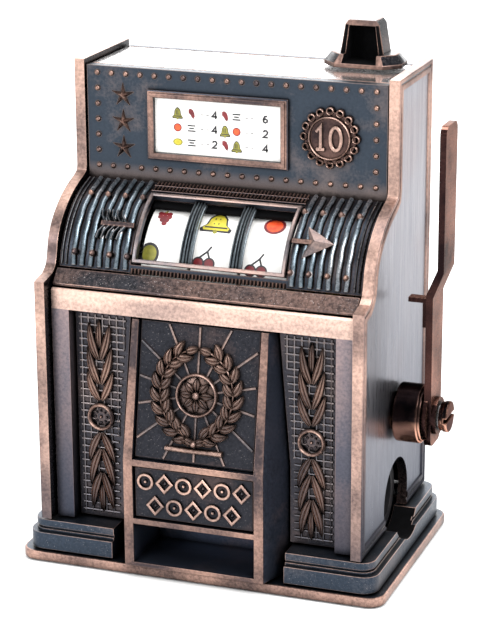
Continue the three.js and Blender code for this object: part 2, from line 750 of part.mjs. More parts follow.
function medallion() {
  const [x, z] = medallion_at;
  const back = award_front - 0.15;
  const scallops = [];
  const count = 14;
  for (let i = 0; i < count * 4; i += 1) {
    const angle = 2 * Math.PI * i / (count * 4);
    const radius = 4.45 + 0.4 * Math.abs(Math.sin(angle * count / 2));
    scallops.push([x + radius * Math.cos(angle), z + radius * Math.sin(angle)]);
  }
  const flower = slab_y(scallops, back - 0.5, back);
  const rim = slab_y(circle(x, z, 3.5, 28), back - 0.95, back - 0.1, [circle(x, z, 3.05, 28)]);
  const raised = [back - numeral_height, back - 0.1];
  const one = slab_y(numeral_one.map(([a, b]) => [x + a, z + b]), ...raised);
  const zero = slab_y(ellipse(x + 1, z, 1.15, 1.85), ...raised, [ellipse(x + 1, z, 0.55, 1.2)]);
  return join([flower, rim, one, zero]);
}
add('medallion', medallion(), 'gunmetal');

// ---------------------------------------------------------------- top, back, coin head
const back_cover_y = [33.4, 35];
const top_panel_y = [award_front + 1.5 + gap, back_cover_y[0] - gap];
const across = [-frame_half_width, frame_half_width];
add('top_panel', block(across, top_panel_y, [award_top - 1.2, award_top]), 'polished_top');
add('back_cover', block(across, back_cover_y, [moulding_top + gap, award_top]), 'gunmetal');

const head_x = 16.9;
const flange_y = [26.4, 34.4];
const flange_z = [award_top + gap, 78.7];
const hood_front = 28.4;
const hood_back = 32.4;
const hood_top = 83.9;

function octagon_points(half_x, y0, y1, z, clip) {
  const points = [];
  const pairs = [[half_x, clip], [half_x - clip, 0]];
  for (const sx of [-1, 1]) {
    for (const [x, inset] of pairs) {
      points.push([head_x + sx * x, y0 + inset, z], [head_x + sx * x, y1 - inset, z]);
    }
  }
  return points;
}

function coin_head() {
  const flange = wasm.Manifold.hull([
    ...octagon_points(6.3, flange_y[0], flange_y[1], flange_z[0], 2.4),
    ...octagon_points(6.3, flange_y[0], flange_y[1], flange_z[0] + 0.6, 2.4),
    ...octagon_points(5.2, flange_y[0] + 0.9, flange_y[1] - 0.9, flange_z[1], 2),
  ]);
  const profile = [[-3.6, flange_z[0]], [3.6, flange_z[0]], [3.5, flange_z[1]], [2.75, hood_top - 0.7],
    [2.2, hood_top], [-2.2, hood_top], [-2.75, hood_top - 0.7], [-3.5, flange_z[1]]];
  const hood = slab_y(profile.map(([x, z]) => [head_x + x, z]), hood_front, hood_back);
  const mouth_z = [flange_z[1] - 1.3, hood_top - 0.9];
  const mouth = [[-2.75, mouth_z[0]], [2.75, mouth_z[0]], [2.05, mouth_z[1]], [-2.05, mouth_z[1]]];
  const recess = slab_y(mouth.map(([x, z]) => [head_x + x, z]), flange_y[0] - 1, hood_back - 0.9);
  return flange.add(hood).subtract(recess);
}
add('coin_head', coin_head(), 'gunmetal');

// ---------------------------------------------------------------- frame plates that carry the shafts
const bracket_inner = 14.4;
const bracket_thickness = 1.5;

function bracket(with_axle_hole) {
  const x0 = bracket_inner;
  const x1 = bracket_inner + bracket_thickness;
  const shape = [[13.5, 18.6], [33.1, 18.6], [33.1, 50], [22, 50], [13.5, 46]];
  const plate = slab_x(shape, x0, x1);
  const foot = block([x0, x1 + 4], [31.7, 33.1], [22, 46]);
  const shaft_hole = rod_x(reel_y, reel_z, reel_shaft_radius + running_gap, x0 - 1, x1 + 1);
  const axle_hole = rod_x(lever_y, lever_z, axle_radius + running_gap, x0 - 1, x1 + 1);
  const tools = with_axle_hole ? [shaft_hole, axle_hole] : [shaft_hole];
  return cut(plate.add(foot), tools);
}
add('bracket_right', bracket(true), 'steel');
add('bracket_left', mirrored(bracket(false)), 'steel');

// ---------------------------------------------------------------- gears
function involute_gear(teeth, drawn_teeth, first_angle, root_hub) {
  const pitch = gear_module * teeth / 2;
  const base = pitch * Math.cos(pressure_angle);
  const tip = pitch + gear_module * 0.95;
  const root = pitch - gear_module * 1.2;
  const involute = (r) => {
    const a = Math.acos(Math.min(1, base / r));
    return Math.tan(a) - a;
  };
  const half_tooth = Math.PI / (2 * teeth) - tooth_backlash / (2 * pitch) + involute(pitch);
  const flank_start = Math.max(base, root);
  const points = [];
  for (let i = 0; i < drawn_teeth; i += 1) {
    const middle = first_angle + 2 * Math.PI * i / teeth;
    const flank = [];
    const steps = 2;
    flank.push([root, half_tooth - involute(flank_start)]);
    for (let k = 0; k <= steps; k += 1) {
      const r = flank_start + (tip - flank_start) * k / steps;
      flank.push([r, half_tooth - involute(r)]);
    }
    for (const [r, half] of flank) points.push([r, middle - half]);
    for (const [r, half] of flank.slice().reverse()) points.push([r, middle + half]);
  }
  const xy = points.map(([r, angle]) => [r * Math.cos(angle), r * Math.sin(angle)]);
  return root_hub ? [...xy, ...root_hub] : xy;
}

function placed_gear(points, y, z) {
  return points.map(([a, b]) => [a + y, b + z]);
}

// The pinion has a tooth pointing straight down at the sector, which has a gap there.
function pinion() {
  const outline_points = involute_gear(pinion_teeth, pinion_teeth, -Math.PI / 2, null);
  const wheel = slab_x(placed_gear(outline_points, reel_y, reel_z), gear_x[0], gear_x[1]);
  const bore = rod_x(reel_y, reel_z, reel_shaft_radius + 0.05, 10, 30);
  return wheel.subtract(bore);
}

function drive_sector() {
  const tooth_step = 2 * Math.PI / sector_teeth_full_circle;
  const first = Math.PI / 2 + 1.5 * tooth_step - (sector_teeth - 1) * tooth_step;
  const hub = [];
  for (let i = 0; i <= 8; i += 1) {
    const angle = Math.PI * (0.78 + 1.05 * i / 8);
    hub.push([3.6 * Math.cos(angle), 3.6 * Math.sin(angle)]);
  }
  const outline_points = involute_gear(sector_teeth_full_circle, sector_teeth, first, hub);
  const plate = slab_x(placed_gear(outline_points, lever_y, lever_z), gear_x[0], gear_x[1]);
  const bore = rod_x(lever_y, lever_z, axle_radius + 0.05, 10, 30);
  return plate.subtract(bore);
}

// ---------------------------------------------------------------- reels
const spacer_radius = 2.6;

function reel_wheel(x) {
  const w = reel_width / 2;
  const bore = reel_shaft_radius + 0.05;
  const rim = reel_radius - 0.35;
  const profile = [[bore, -w], [3.2, -w], [3.2, -0.6], [rim - 1, -0.6], [rim - 1, -w], [rim, -w], [rim, w],
    [rim - 1, w], [rim - 1, 0.6], [3.2, 0.6], [3.2, w], [bore, w], [bore, -w]];
  const g = new THREE.LatheGeometry(profile.map(([r, h]) => new THREE.Vector2(r, h)), 24);
  return solid(g.rotateZ(-Math.PI / 2).translate(x, reel_y, reel_z));
}

function reel_strip(x) {
  const hollow = circle(reel_y, reel_z, reel_radius - 0.2, 32);
  return slab_x(circle(reel_y, reel_z, reel_radius, 32), x - reel_width / 2, x + reel_width / 2, [hollow]);
}

[-reel_pitch, 0, reel_pitch].forEach((x, i) => {
  add(`reel_${i + 1}`, reel_wheel(x), 'white_plastic');
  add(`reel_strip_${i + 1}`, reel_strip(x), 'white_card');
});

function tube_x(y, z, inner, outer, x0, x1, sides = 24) {
  return rod_x(y, z, outer, x0, x1, sides).subtract(rod_x(y, z, inner, x0 - 1, x1 + 1, sides));
}

const reel_edge = reel_pitch + reel_width / 2;
add('reel_spacer_left', tube_x(reel_y, reel_z, reel_shaft_radius + 0.05, spacer_radius, -bracket_inner + gap,
  -reel_edge - gap), 'brass');
add('reel_spacer_right', tube_x(reel_y, reel_z, reel_shaft_radius + 0.05, spacer_radius, reel_edge + gap,
  bracket_inner - gap), 'brass');
add('reel_shaft', rod_x(reel_y, reel_z, reel_shaft_radius - 0.05, -17.6, 21, 20), 'steel');
add('pinion', pinion(), 'brass');
add('drive_sector', drive_sector(), 'brass');

// ---------------------------------------------------------------- lever
const arm_lower_x = [31.45, 32.55];
const arm_upper_x = [33.17, 34.17];
const arm_half_width_low = 2.85;
const arm_half_width_top = 3.2;
const arm_bottom = lever_z - 4.5;
const arm_top = 71.2;
const arm_corner = 1.4;
const jog_z = [45.0, 49.1];
const hub_radius = 4.3;
const hub_thickness = 0.55;
const collar_radius = 2.95;
const collar_end = 33.2;
const screw_flange_x = [collar_end + gap, 34.1];
const screw_head_x = [34, 34.9];
const screw_slot_width = 0.6;
// latch tab on the inner side of the arm: a short ledge and a narrow hook below it
const tab_x = [28.5, arm_lower_x[0] + 0.2];
const tab_y = [lever_y - 2.4, lever_y - 0.6];
const tab_z = [43.6, 44.3];
const hook_x = [30.8, arm_lower_x[0] + 0.2];
const hook_bottom = 39.7;

function lever_boss() {
  const collar = rod_x(lever_y, lever_z, boss_radius, boss_x[0], boss_x[1] - 0.4, 32);
  const lip = rod_x(lever_y, lever_z, boss_radius - 0.35, boss_x[1] - 0.5, boss_x[1], 32);
  const neck = rod_x(lever_y, lever_z, boss_neck_radius, 24.75, boss_x[0] + 0.5, 24);
  const bore = rod_x(lever_y, lever_z, axle_radius + running_gap, 20, 40, 24);
  return join([collar, lip, neck]).subtract(bore);
}
add('lever_boss', lever_boss(), 'brown_copper');

// side view of the arm: a little wider at the top, with rounded corners
function arm_side_view() {
  const corners = [
    [arm_half_width_low, arm_bottom, -90], [arm_half_width_top, arm_top, 0],
    [-arm_half_width_top, arm_top, 90], [-arm_half_width_low, arm_bottom, 180],
  ];
  const points = [];
  for (const [a, b, start] of corners) {
    const centre = [lever_y + a - Math.sign(a) * arm_corner, b + (b === arm_top ? -1 : 1) * arm_corner];
    for (let i = 0; i <= 4; i += 1) {
      const angle = THREE.MathUtils.degToRad(start + 22.5 * i);
      points.push([centre[0] + arm_corner * Math.cos(angle), centre[1] + arm_corner * Math.sin(angle)]);
    }
  }
  return points;
}

function lever_arm() {
  const outer_jog_z = jog_z.map((z) => z - 0.4);
  const profile = [
    [arm_lower_x[0], arm_bottom], [arm_lower_x[1], arm_bottom],
    [arm_lower_x[1], outer_jog_z[0]], [arm_upper_x[1], outer_jog_z[1]],
    [arm_upper_x[1], arm_top], [arm_upper_x[0], arm_top],
    [arm_upper_x[0], jog_z[1]], [arm_lower_x[0], jog_z[0]],
  ];
  const bar = slab_y(profile, lever_y - arm_half_width_top, lever_y + arm_half_width_top);
  const side_view = slab_x(arm_side_view(), arm_lower_x[0] - 1, arm_upper_x[1] + 1);
  const hub = rod_x(lever_y, lever_z, hub_radius, arm_lower_x[0], arm_lower_x[0] + hub_thickness, 32);
  const collar = rod_x(lever_y, lever_z, collar_radius, arm_lower_x[1] - 0.2, collar_end, 28);
  const ledge = block(tab_x, tab_y, tab_z);
  const hook = block(hook_x, tab_y, [hook_bottom, tab_z[1]]);
  const bore = rod_x(lever_y, lever_z, axle_radius + 0.05, 20, 40, 20);
  return join([bar.intersect(side_view), hub, collar, ledge, hook]).subtract(bore);
}
add('lever_arm', lever_arm(), 'brown_copper');
add('lever_axle', rod_x(lever_y, lever_z, axle_radius - 0.05, 13.4, collar_end - 0.1, 20), 'steel');

function axle_screw() {
  const flange = rod_x(lever_y, lever_z, 2.3, ...screw_flange_x, 24);
  const head = rod_x(lever_y, lever_z, 2.45, ...screw_head_x, 24);
  const slot = block([screw_head_x[1] - 0.5, screw_head_x[1] + 1], [lever_y - 3, lever_y + 3],
    [lever_z - screw_slot_width / 2, lever_z + screw_slot_width / 2]);
  return flange.add(head).subtract(slot);
}
add('axle_screw', axle_screw(), 'brown_copper');

// torsion spring round the axle, between the sector and the side panel
const spring_radius = 2.75;
const spring_wire = 0.35;
const spring_x = [20.0, 23.9];
const spring_turns = 3.5;

class CoilCurve extends THREE.Curve {
  getPoint(t, target = new THREE.Vector3()) {
    const angle = 2 * Math.PI * spring_turns * t;
    return target.set(spring_x[0] + (spring_x[1] - spring_x[0]) * t,
      lever_y + spring_radius * Math.cos(angle), lever_z + spring_radius * Math.sin(angle));
  }
}

function return_spring() {
  const settings = { steps: 44, bevelEnabled: false, extrudePath: new CoilCurve() };
  return solid(new THREE.ExtrudeGeometry(outline(circle(0, 0, spring_wire, 6)), settings));
}
add('return_spring', return_spring(), 'steel');

// ---------------------------------------------------------------- pencil sharpener
const sharpener_x = [3, 24.2];
const sharpener_radius = 5.9;

function cone_x(radius0, radius1, x0, x1) {
  const g = new THREE.CylinderGeometry(radius1, radius0, x1 - x0, 28);
  return solid(g.rotateZ(-Math.PI / 2).translate((x0 + x1) / 2, pencil_y, pencil_z));
}

function sharpener_body() {
  const barrel = rod_x(pencil_y, pencil_z, sharpener_radius, sharpener_x[0], sharpener_x[1], 32);
  const cone = cone_x(0.6, 4.1, sharpener_x[0] - 0.1, 20.5);
  const entry = rod_x(pencil_y, pencil_z, 4.1, 20.4, 26, 28);
  const blade_flat = block([sharpener_x[0] - 1, 20], [pencil_y - 8, pencil_y + 8], [pencil_z + 2.6, 20]);
  const chip_slot = block([4.6, 19], [pencil_y - 7, pencil_y - 0.4], [pencil_z + 0.6, 20]);
  const screw_hole = rod_z(11, pencil_y + 3.4, 0.95, pencil_z + 1.0, 20, 14);
  return cut(barrel, [cone, entry, blade_flat, chip_slot, screw_hole]);
}
add('sharpener_body', sharpener_body(), 'black_plastic');

const blade_z = [pencil_z + 2.75, pencil_z + 3.35];

function sharpener_blade() {
  const blade = block([4.4, 19], [pencil_y + 0.1, pencil_y + 5.4], blade_z);
  return blade.subtract(rod_z(11, pencil_y + 3.4, 1.1, 0, 30, 16));
}
add('sharpener_blade', sharpener_blade(), 'steel');

function blade_screw() {
  const head = rod_z(11, pencil_y + 3.4, 1.7, blade_z[1] + 0.1, blade_z[1] + 1, 18);
  const shank = rod_z(11, pencil_y + 3.4, 0.8, pencil_z + 1.3, blade_z[1] + 0.5, 12);
  const slot = block([8, 14], [pencil_y + 3.2, pencil_y + 3.6], [blade_z[1] + 0.6, 20]);
  return head.add(shank).subtract(slot);
}
add('blade_screw', blade_screw(), 'brass');

export default machine;
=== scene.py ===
"""Looks of the miniature slot machine sharpener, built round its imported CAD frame."""
from math import atan2, cos, hypot, pi, radians, sin

import bmesh
import bpy
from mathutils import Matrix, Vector


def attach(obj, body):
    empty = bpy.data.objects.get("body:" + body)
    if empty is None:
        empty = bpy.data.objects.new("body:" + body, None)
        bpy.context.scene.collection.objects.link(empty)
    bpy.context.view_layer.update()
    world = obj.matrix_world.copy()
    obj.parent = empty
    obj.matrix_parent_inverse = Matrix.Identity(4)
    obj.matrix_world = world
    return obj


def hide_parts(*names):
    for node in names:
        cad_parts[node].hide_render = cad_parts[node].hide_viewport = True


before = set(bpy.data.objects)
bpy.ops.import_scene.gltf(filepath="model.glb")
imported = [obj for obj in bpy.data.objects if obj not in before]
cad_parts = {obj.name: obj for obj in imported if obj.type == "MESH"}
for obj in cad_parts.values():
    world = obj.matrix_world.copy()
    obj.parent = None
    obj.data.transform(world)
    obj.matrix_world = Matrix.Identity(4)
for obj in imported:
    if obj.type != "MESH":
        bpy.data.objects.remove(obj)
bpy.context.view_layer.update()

# ---------------------------------------------------------------- dimensions, in millimetres
# x and z are the frame's; y is counted from the front edge of the lower side bands, as the cabinet is drawn.
MM = 0.001
HALF_DEPTH = 18.0

HALF_WIDTH = 26.45
SIDE_THICKNESS = 1.7
SIDE_BOTTOM = 6.95
SIDE_TOP = 77.3
DEPTH = 35.1
KNEE_HEIGHT = 45.9
UPPER_FRONT = 17.1
UPPER_FRONT_FOOT = 60.4
GAP = 0.3
INNER_HALF_WIDTH = HALF_WIDTH - SIDE_THICKNESS - GAP

FRAME_FRONT = 1.9
RAIL_BOTTOM = 41.3
STILE_INNER = 21.6
LATTICE_FRONT = 3.9
LATTICE_BACK = 5.3
MOULDING_TOP = 6.65
WEDGE_FRONT = -2.0
WEDGE_KNEE = 19.5
WEDGE_HALF_TOP = 11.0
WEDGE_HALF_LOW = 11.4
WEDGE_DRAFT = 0.35
POCKET_HALF_WIDTH = 9.9
POCKET_DEPTH = 1.2
UPPER_BAR = (18.55, 19.6)
LOWER_BAR = (9.0, 9.9)

REEL_Y = 18.5
REEL_Z = 44.9
REEL_RADIUS = 11.25
REEL_WIDTH = 7.4
REEL_PITCH = 8.1
HOOD_INNER_RADIUS = 12.2
HOOD_RADIUS = 13.4
HOOD_ANGLES = (107.5, 165.5)
WINDOW_ANGLES = (110.8, 163.6)
WINDOW_HALF_WIDTH = 12.4
WINDOW_RIM = 0.65

AWARD_FRONT = 17.5
AWARD_BOTTOM = 57.6
AWARD_TOP = 76.4
CARD_MIDDLE = (-2.75, 67.7)
CARD_HALF = (10.4, 4.35)
CARD_FRAME_WIDTH = 1.1
MEDALLION = (15.5, 67.8)
MEDALLION_RADIUS = 4.1
MEDALLION_INNER = 3.3

LEVER_Y = 18.5
LEVER_Z = 24.9
LEVER_HOLE_RADIUS = 3.3
PENCIL_Y = 18.8
PENCIL_Z = 10.3
PENCIL_HOLE_RADIUS = 6.4


def at(x, y, z):
    """A point given in cabinet millimetres, in the row frame in metres."""
    return Vector((x, y - HALF_DEPTH, z)) * MM


def spread(first, last, count):
    """count evenly spaced numbers from first to last."""
    return [first + (last - first) * k / (count - 1) for k in range(count)]


def circle(u, v, radius, sides=24, tall=1.0):
    turns = [2 * pi * k / sides for k in range(sides)]
    return [(u + radius * cos(t), v + tall * radius * sin(t)) for t in turns]


def star(u, v, outer, inner):
    """Corners of a five-pointed star."""
    radii = [inner if k % 2 else outer for k in range(10)]
    return [(u + r * cos(pi / 2 + pi * k / 5), v + r * sin(pi / 2 + pi * k / 5)) for k, r in enumerate(radii)]


# ---------------------------------------------------------------- materials
def linear(colour):
    """An everyday 0 to 255 colour as the linear colour that Blender mixes."""
    shares = [value / 255 for value in colour]
    return [s / 12.92 if s <= 0.04045 else ((s + 0.055) / 1.055) ** 2.4 for s in shares] + [1.0]


class Surface:
    """A material, with short ways to add nodes to it."""

    def __init__(self, name, metallic, roughness):
        self.material = bpy.data.materials.new(name)
        self.material.use_nodes = True
        self.tree = self.material.node_tree
        self.shader = self.tree.nodes["Principled BSDF"]
        self.set("Metallic", metallic)
        self.set("Roughness", roughness)
        self.place = self.add("TexCoord", {}).outputs["Object"]

    def feed(self, socket, value):
        if isinstance(value, bpy.types.NodeSocket):
            self.tree.links.new(value, socket)
        else:
            socket.default_value = value

    def set(self, name, value):
        """Gives one of the shader's own sockets a value or a node's output."""
        self.feed(self.shader.inputs[name], value)

    def add(self, kind, inputs, **settings):
        """A new node; each input is a value or another node's output."""
        node = self.tree.nodes.new("ShaderNode" + kind)
        for name, value in settings.items():
            setattr(node, name, value)
        for name, value in inputs.items():
            self.feed(node.inputs[name], value)
        return node

    def combine(self, operation, first, second):
        return self.add("Math", {0: first, 1: second}, operation=operation).outputs[0]

    def blend(self, first, share, second):
        """share of the first number, and the rest of the second."""
        return self.combine("ADD", self.combine("MULTIPLY", first, share),
                            self.combine("MULTIPLY", second, 1 - share))

    def noise(self, scale, detail=3.0, roughness=0.6, stretch=(1, 1, 1)):
        mapping = self.add("Mapping", {"Scale": stretch, "Vector": self.place})
        inputs = {"Scale": scale, "Detail": detail, "Roughness": roughness}
        inputs["Vector"] = mapping.outputs["Vector"]
        return self.add("TexNoise", inputs).outputs["Fac"]

    def remap(self, value, low, high, to_low=0.0, to_high=1.0):
        inputs = {"Value": value, "From Min": low, "From Max": high, "To Min": to_low, "To Max": to_high}
        return self.add("MapRange", inputs).outputs["Result"]

    def mix(self, share, first, second):
        """Mixes two colours, each an everyday colour or a node's output."""
        first, second = [linear(c) if isinstance(c, tuple) else c for c in (first, second)]
        node = self.add("Mix", {"Factor": share}, data_type="RGBA")
        for socket, colour in zip([s for s in node.inputs if s.type == "RGBA"], (first, second)):
            self.feed(socket, colour)
        return [s for s in node.outputs if s.type == "RGBA"][0]

    def height(self):
        return self.add("SeparateXYZ", {"Vector": self.place}).outputs["Z"]

    def nearness(self, distance, inside):
        """1 in the open, less near an edge (inside) or in a crevice (outside)."""
        return self.add("AmbientOcclusion", {"Distance": distance}, samples=8, inside=inside,
                        only_local=inside).outputs["AO"]

    def bump(self, height, strength, distance):
        node = self.add("Bump", {"Strength": strength, "Distance": distance, "Height": height})
        self.set("Normal", node.outputs["Normal"])


def cast_metal(name, dark, copper, rubbed, edges=0.7, roughness=0.36, grain=0.7, specks=0.0, edge_tint=1.0,
               stretch=(1, 1, 1), crevice=0.0018, warm_foot=None, painted_shade_foot=None):
    """Blackened die casting. rubbed, from 0 to 1, says how much of the copper shows through; stretch draws
    its blotches out; crevice is how far from a corner the dark patina and painted shade reach. warm_foot
    gives two heights between which the foot of a panel turns to the copper; the last argument gives two
    heights between which it turns to a dull blue-grey painted shade."""
    deep = (7, 8, 10)
    surface = Surface(name, 0.92, roughness)
    surface.set("Specular Tint", (edge_tint, edge_tint, edge_tint, 1.0))
    blotch = surface.noise(90, 4, 0.52, stretch)
    grains = surface.noise(2100, 4, 0.65)
    mixed = surface.blend(blotch, 0.84, grains)
    low = 0.36 + (0.5 - rubbed) * 0.5
    worn = surface.remap(mixed, low, low + 0.28 + max(0.0, 0.5 - rubbed) * 0.4)
    edge = surface.remap(surface.nearness(0.00014, True), 0.55, 0.96, edges, 0.0)
    base = surface.mix(surface.combine("MAXIMUM", worn, edge), dark, copper)
    if warm_foot:
        base = surface.mix(surface.remap(surface.height(), *warm_foot, 0.75, 0.0), base, copper)
    # painted shade: the foot of the panel darkened to dull blue-grey
    if painted_shade_foot:
        base = surface.mix(surface.remap(surface.height(), *painted_shade_foot, 0.95, 0.0), base, (44, 50, 62))
    base = surface.mix(surface.remap(grains, 0.36, 0.6, 0.4 * grain, 0.0), base, deep)
    if specks:
        glints = surface.remap(surface.noise(5200, 2, 0.5), 0.66, 0.72, 0.0, specks)
        base = surface.mix(glints, base, (214, 206, 206))
    # dark patina and painted shade: darker near corners, in crevices and next to other pieces
    clear_of_patina_and_shade = surface.remap(surface.nearness(crevice, False), 0.3, 0.95)
    surface.set("Base Color", surface.mix(clear_of_patina_and_shade, deep, base))
    surface.set("Roughness", surface.remap(grains, 0.3, 0.7, roughness - 0.08, roughness + 0.14))
    surface.bump(mixed, 0.4 * grain, 0.00012)
    return surface.material


def boss_metal():
    """Glossy near-black plating, with a painted copper reflection of the surface below on its underside."""
    surface = Surface("boss_metal", 0.95, 0.17)
    surface.set("Specular Tint", (0.4, 0.36, 0.36, 1.0))
    cloud = surface.noise(320, 4)
    normal = surface.add("TexCoord", {}).outputs["Normal"]
    upward = surface.add("SeparateXYZ", {"Vector": normal}).outputs["Z"]
    # painted reflection: faces turned downwards take the copper of the surface below
    under = surface.remap(surface.combine("ADD", upward, surface.combine("MULTIPLY", cloud, 0.3)), 0.2, -0.2)
    edge = surface.remap(surface.nearness(0.00022, True), 0.6, 0.97, 0.5, 0.0)
    base = surface.mix(surface.remap(cloud, 0.4, 0.75, 0.0, 0.5), (12, 10, 13), (62, 46, 44))
    surface.set("Base Color", surface.mix(surface.combine("MAXIMUM", under, edge), base, (208, 156, 134)))
    surface.bump(cloud, 0.1, 0.00008)
    return surface.material


def brushed_side():
    """Blue-grey plating with fine upright brush streaks, partly painted streaks of reflected light; duller
    and darker towards the base, a painted shade.
    """
    surface = Surface("brushed_side", 0.95, 0.3)
    surface.set("Specular Tint", (0.78, 0.78, 0.81, 1.0))
    # brush streaks, partly painted as lighter streaks of reflected light
    streaks = surface.noise(60, 5, 0.65, (1, 26, 1.2))
    fine = surface.noise(400, 3, 0.6, (1, 10, 0.5))
    both = surface.blend(streaks, 0.6, fine)
    base = surface.mix(surface.remap(both, 0.34, 0.66), (122, 123, 129), (168, 165, 167))
    warm = surface.remap(surface.noise(38), 0.5, 0.72, 0.0, 0.35)
    base = surface.mix(warm, base, (150, 126, 118))
    # painted shade: dark navy towards the base
    foot = surface.remap(surface.height(), 0.006, 0.056, 0.97, 0.0)
    base = surface.mix(foot, base, (38, 48, 62))
    # dark patina and painted shade: darker near corners, in the groove and next to other pieces
    clear_of_patina_and_shade = surface.remap(surface.nearness(0.0014, False), 0.25, 0.9)
    surface.set("Base Color", surface.mix(clear_of_patina_and_shade, (20, 20, 26), base))
    surface.set("Roughness", surface.remap(fine, 0.3, 0.7, 0.24, 0.4))
    surface.bump(both, 0.12, 0.00005)
    return surface.material


def polished_top():
    """Mirror-like plating, almost white: its near-white colour is a painted reflection of the white studio
    light.
    """
    surface = Surface("polished_top", 0.95, 0.14)
    haze = surface.noise(160)
    surface.set("Base Color", surface.mix(surface.remap(haze, 0.4, 0.7), (246, 245, 245), (228, 224, 223)))
    surface.set("Roughness", surface.remap(haze, 0.3, 0.7, 0.1, 0.2))
    surface.bump(surface.noise(900, 2, 0.5), 0.04, 0.00003)
    return surface.material


def bare_metal(name, light, shade, roughness):
    """Turned or stamped metal with fine marks."""
    surface = Surface(name, 1.0, roughness)
    marks = surface.noise(700, stretch=(4, 1, 1))
    surface.set("Base Color", surface.mix(surface.remap(marks, 0.35, 0.65), shade, light))
    surface.set("Roughness", surface.remap(marks, 0.3, 0.7, roughness - 0.05, roughness + 0.1))
    surface.bump(marks, 0.1, 0.00004)
    return surface.material


def soft_surface(name, light, shade, roughness, gloss=0.5):
    """Card, print or moulded plastic: no metal, a faint mottle."""
    surface = Surface(name, 0.0, roughness)
    surface.set("Specular IOR Level", gloss)
    mottle = surface.noise(900)
    surface.set("Base Color", surface.mix(surface.remap(mottle, 0.35, 0.65), shade, light))
    surface.bump(mottle, 0.08, 0.00003)
    return surface.material


GUNMETAL = cast_metal("gunmetal", (56, 62, 72), (150, 118, 106), 0.12, grain=0.6)
FIELD = cast_metal("field_metal", (44, 45, 51), (120, 96, 88), 0.16, edges=0.3, grain=0.8, specks=0.2)
LATTICE = cast_metal("lattice_metal", (62, 61, 67), (136, 114, 106), 0.16, edges=0.3, grain=0.6, specks=0.2,
                     crevice=0.0012)
DRAFTED = cast_metal("drafted_metal", (76, 83, 99), (150, 122, 112), 0.14, grain=0.6)
AWARD = cast_metal("award_metal", (56, 64, 74), (158, 138, 130), 0.16, grain=0.5, warm_foot=(0.0578, 0.0612))
RUBBED = cast_metal("rubbed_copper", (94, 80, 79), (210, 174, 158), 0.54, edges=0.85)
EDGE = cast_metal("edge_copper", (94, 80, 79), (210, 174, 158), 0.54, edges=0.85, painted_shade_foot=(0.003, 0.021))
RAIL = cast_metal("rail_copper", (124, 108, 106), (228, 194, 178), 0.66, edges=0.5, stretch=(0.4, 1, 2.2))
HALF_RUBBED = cast_metal("half_rubbed_copper", (74, 65, 67), (192, 153, 136), 0.44)
LEAF = cast_metal("leaf_copper", (90, 79, 78), (184, 150, 134), 0.5, grain=0.5, crevice=0.0007,
                  painted_shade_foot=(0.002, 0.031))
PLAIN = cast_metal("plain_cast", (108, 106, 116), (190, 158, 148), 0.36, grain=0.6, stretch=(1, 1, 0.4),
                   painted_shade_foot=(0.004, 0.042))
BORDER = cast_metal("border_copper", (112, 96, 94), (202, 166, 152), 0.55, edges=0.5, edge_tint=0.6,
                    painted_shade_foot=(0.012, 0.044))
BASE = cast_metal("base_copper", (78, 68, 69), (202, 163, 147), 0.56, grain=1.0)
WORN = cast_metal("worn_cast", (96, 98, 104), (182, 152, 140), 0.5, edges=0.3, grain=0.6)
DIVIDER = cast_metal("divider_metal", (86, 98, 106), (138, 146, 152), 0.5, edges=0.3, grain=0.5,
                     crevice=0.0005)
RIBBED = cast_metal("ribbed_cast", (116, 130, 140), (196, 186, 184), 0.26, roughness=0.28, crevice=0.0011)
GRID = cast_metal("grid_metal", (98, 100, 108), (146, 132, 127), 0.4, grain=0.4, crevice=0.0006,
                  painted_shade_foot=(-0.002, 0.028))
DECK = cast_metal("deck_metal", (58, 58, 63), (144, 114, 102), 0.42, grain=1.5, specks=0.5,
                  stretch=(0.6, 1, 1))
MOULDING = cast_metal("moulding_metal", (54, 63, 75), (132, 122, 120), 0.16, specks=0.25)
HEAD = cast_metal("head_metal", (38, 38, 43), (148, 121, 113), 0.2, grain=0.9, roughness=0.26, specks=0.25)
COIN = cast_metal("medallion_metal", (54, 43, 44), (146, 112, 101), 0.34, grain=0.6)
BROWN = cast_metal("brown_copper", (66, 45, 40), (174, 128, 112), 0.52, edges=0.25, roughness=0.24,
                   grain=0.3, edge_tint=0.4)
# painted shade: a darker copy of the brown copper, for the lever arm's front face
SHADED_BROWN = cast_metal("brown_copper_painted_shade", (28, 18, 19), (82, 54, 49), 0.4, edges=0.15, roughness=0.22,
                    grain=0.3, edge_tint=0.3)
BOSS = boss_metal()
SIDE = brushed_side()
TOP = polished_top()
STEEL = bare_metal("steel", (206, 208, 212), (160, 163, 170), 0.28)
BRASS = bare_metal("brass", (214, 184, 112), (168, 136, 74), 0.3)
WHITE_PLASTIC = soft_surface("white_plastic", (236, 234, 228), (222, 220, 214), 0.45)
BLACK_PLASTIC = soft_surface("black_plastic", (22, 22, 26), (14, 14, 17), 0.5)
# painted shade: near black, for hollows that lie in shadow
SHADE_BLACK = soft_surface("painted_shade_black", (6, 6, 8), (2, 2, 3), 0.9, 0.1)
INKS = [
    soft_surface("white_card", (252, 251, 248), (244, 242, 238), 0.6),
    soft_surface("ink_black", (52, 50, 54), (38, 37, 42), 0.6),
    soft_surface("ink_red", (126, 32, 38), (96, 22, 30), 0.5),
    soft_surface("ink_orange", (232, 92, 44), (206, 62, 30), 0.5),
    soft_surface("ink_yellow", (206, 194, 62), (182, 168, 44), 0.5),
    soft_surface("ink_olive", (142, 138, 48), (112, 110, 36), 0.5),
]
BLACK_INK, RED_INK, ORANGE_INK, YELLOW_INK, OLIVE_INK = range(1, 6)

# ---------------------------------------------------------------- modelling tools
SHARP_ANGLE = radians(38)
EDGE_BEVEL = 0.08
DISC_SIDES = 40


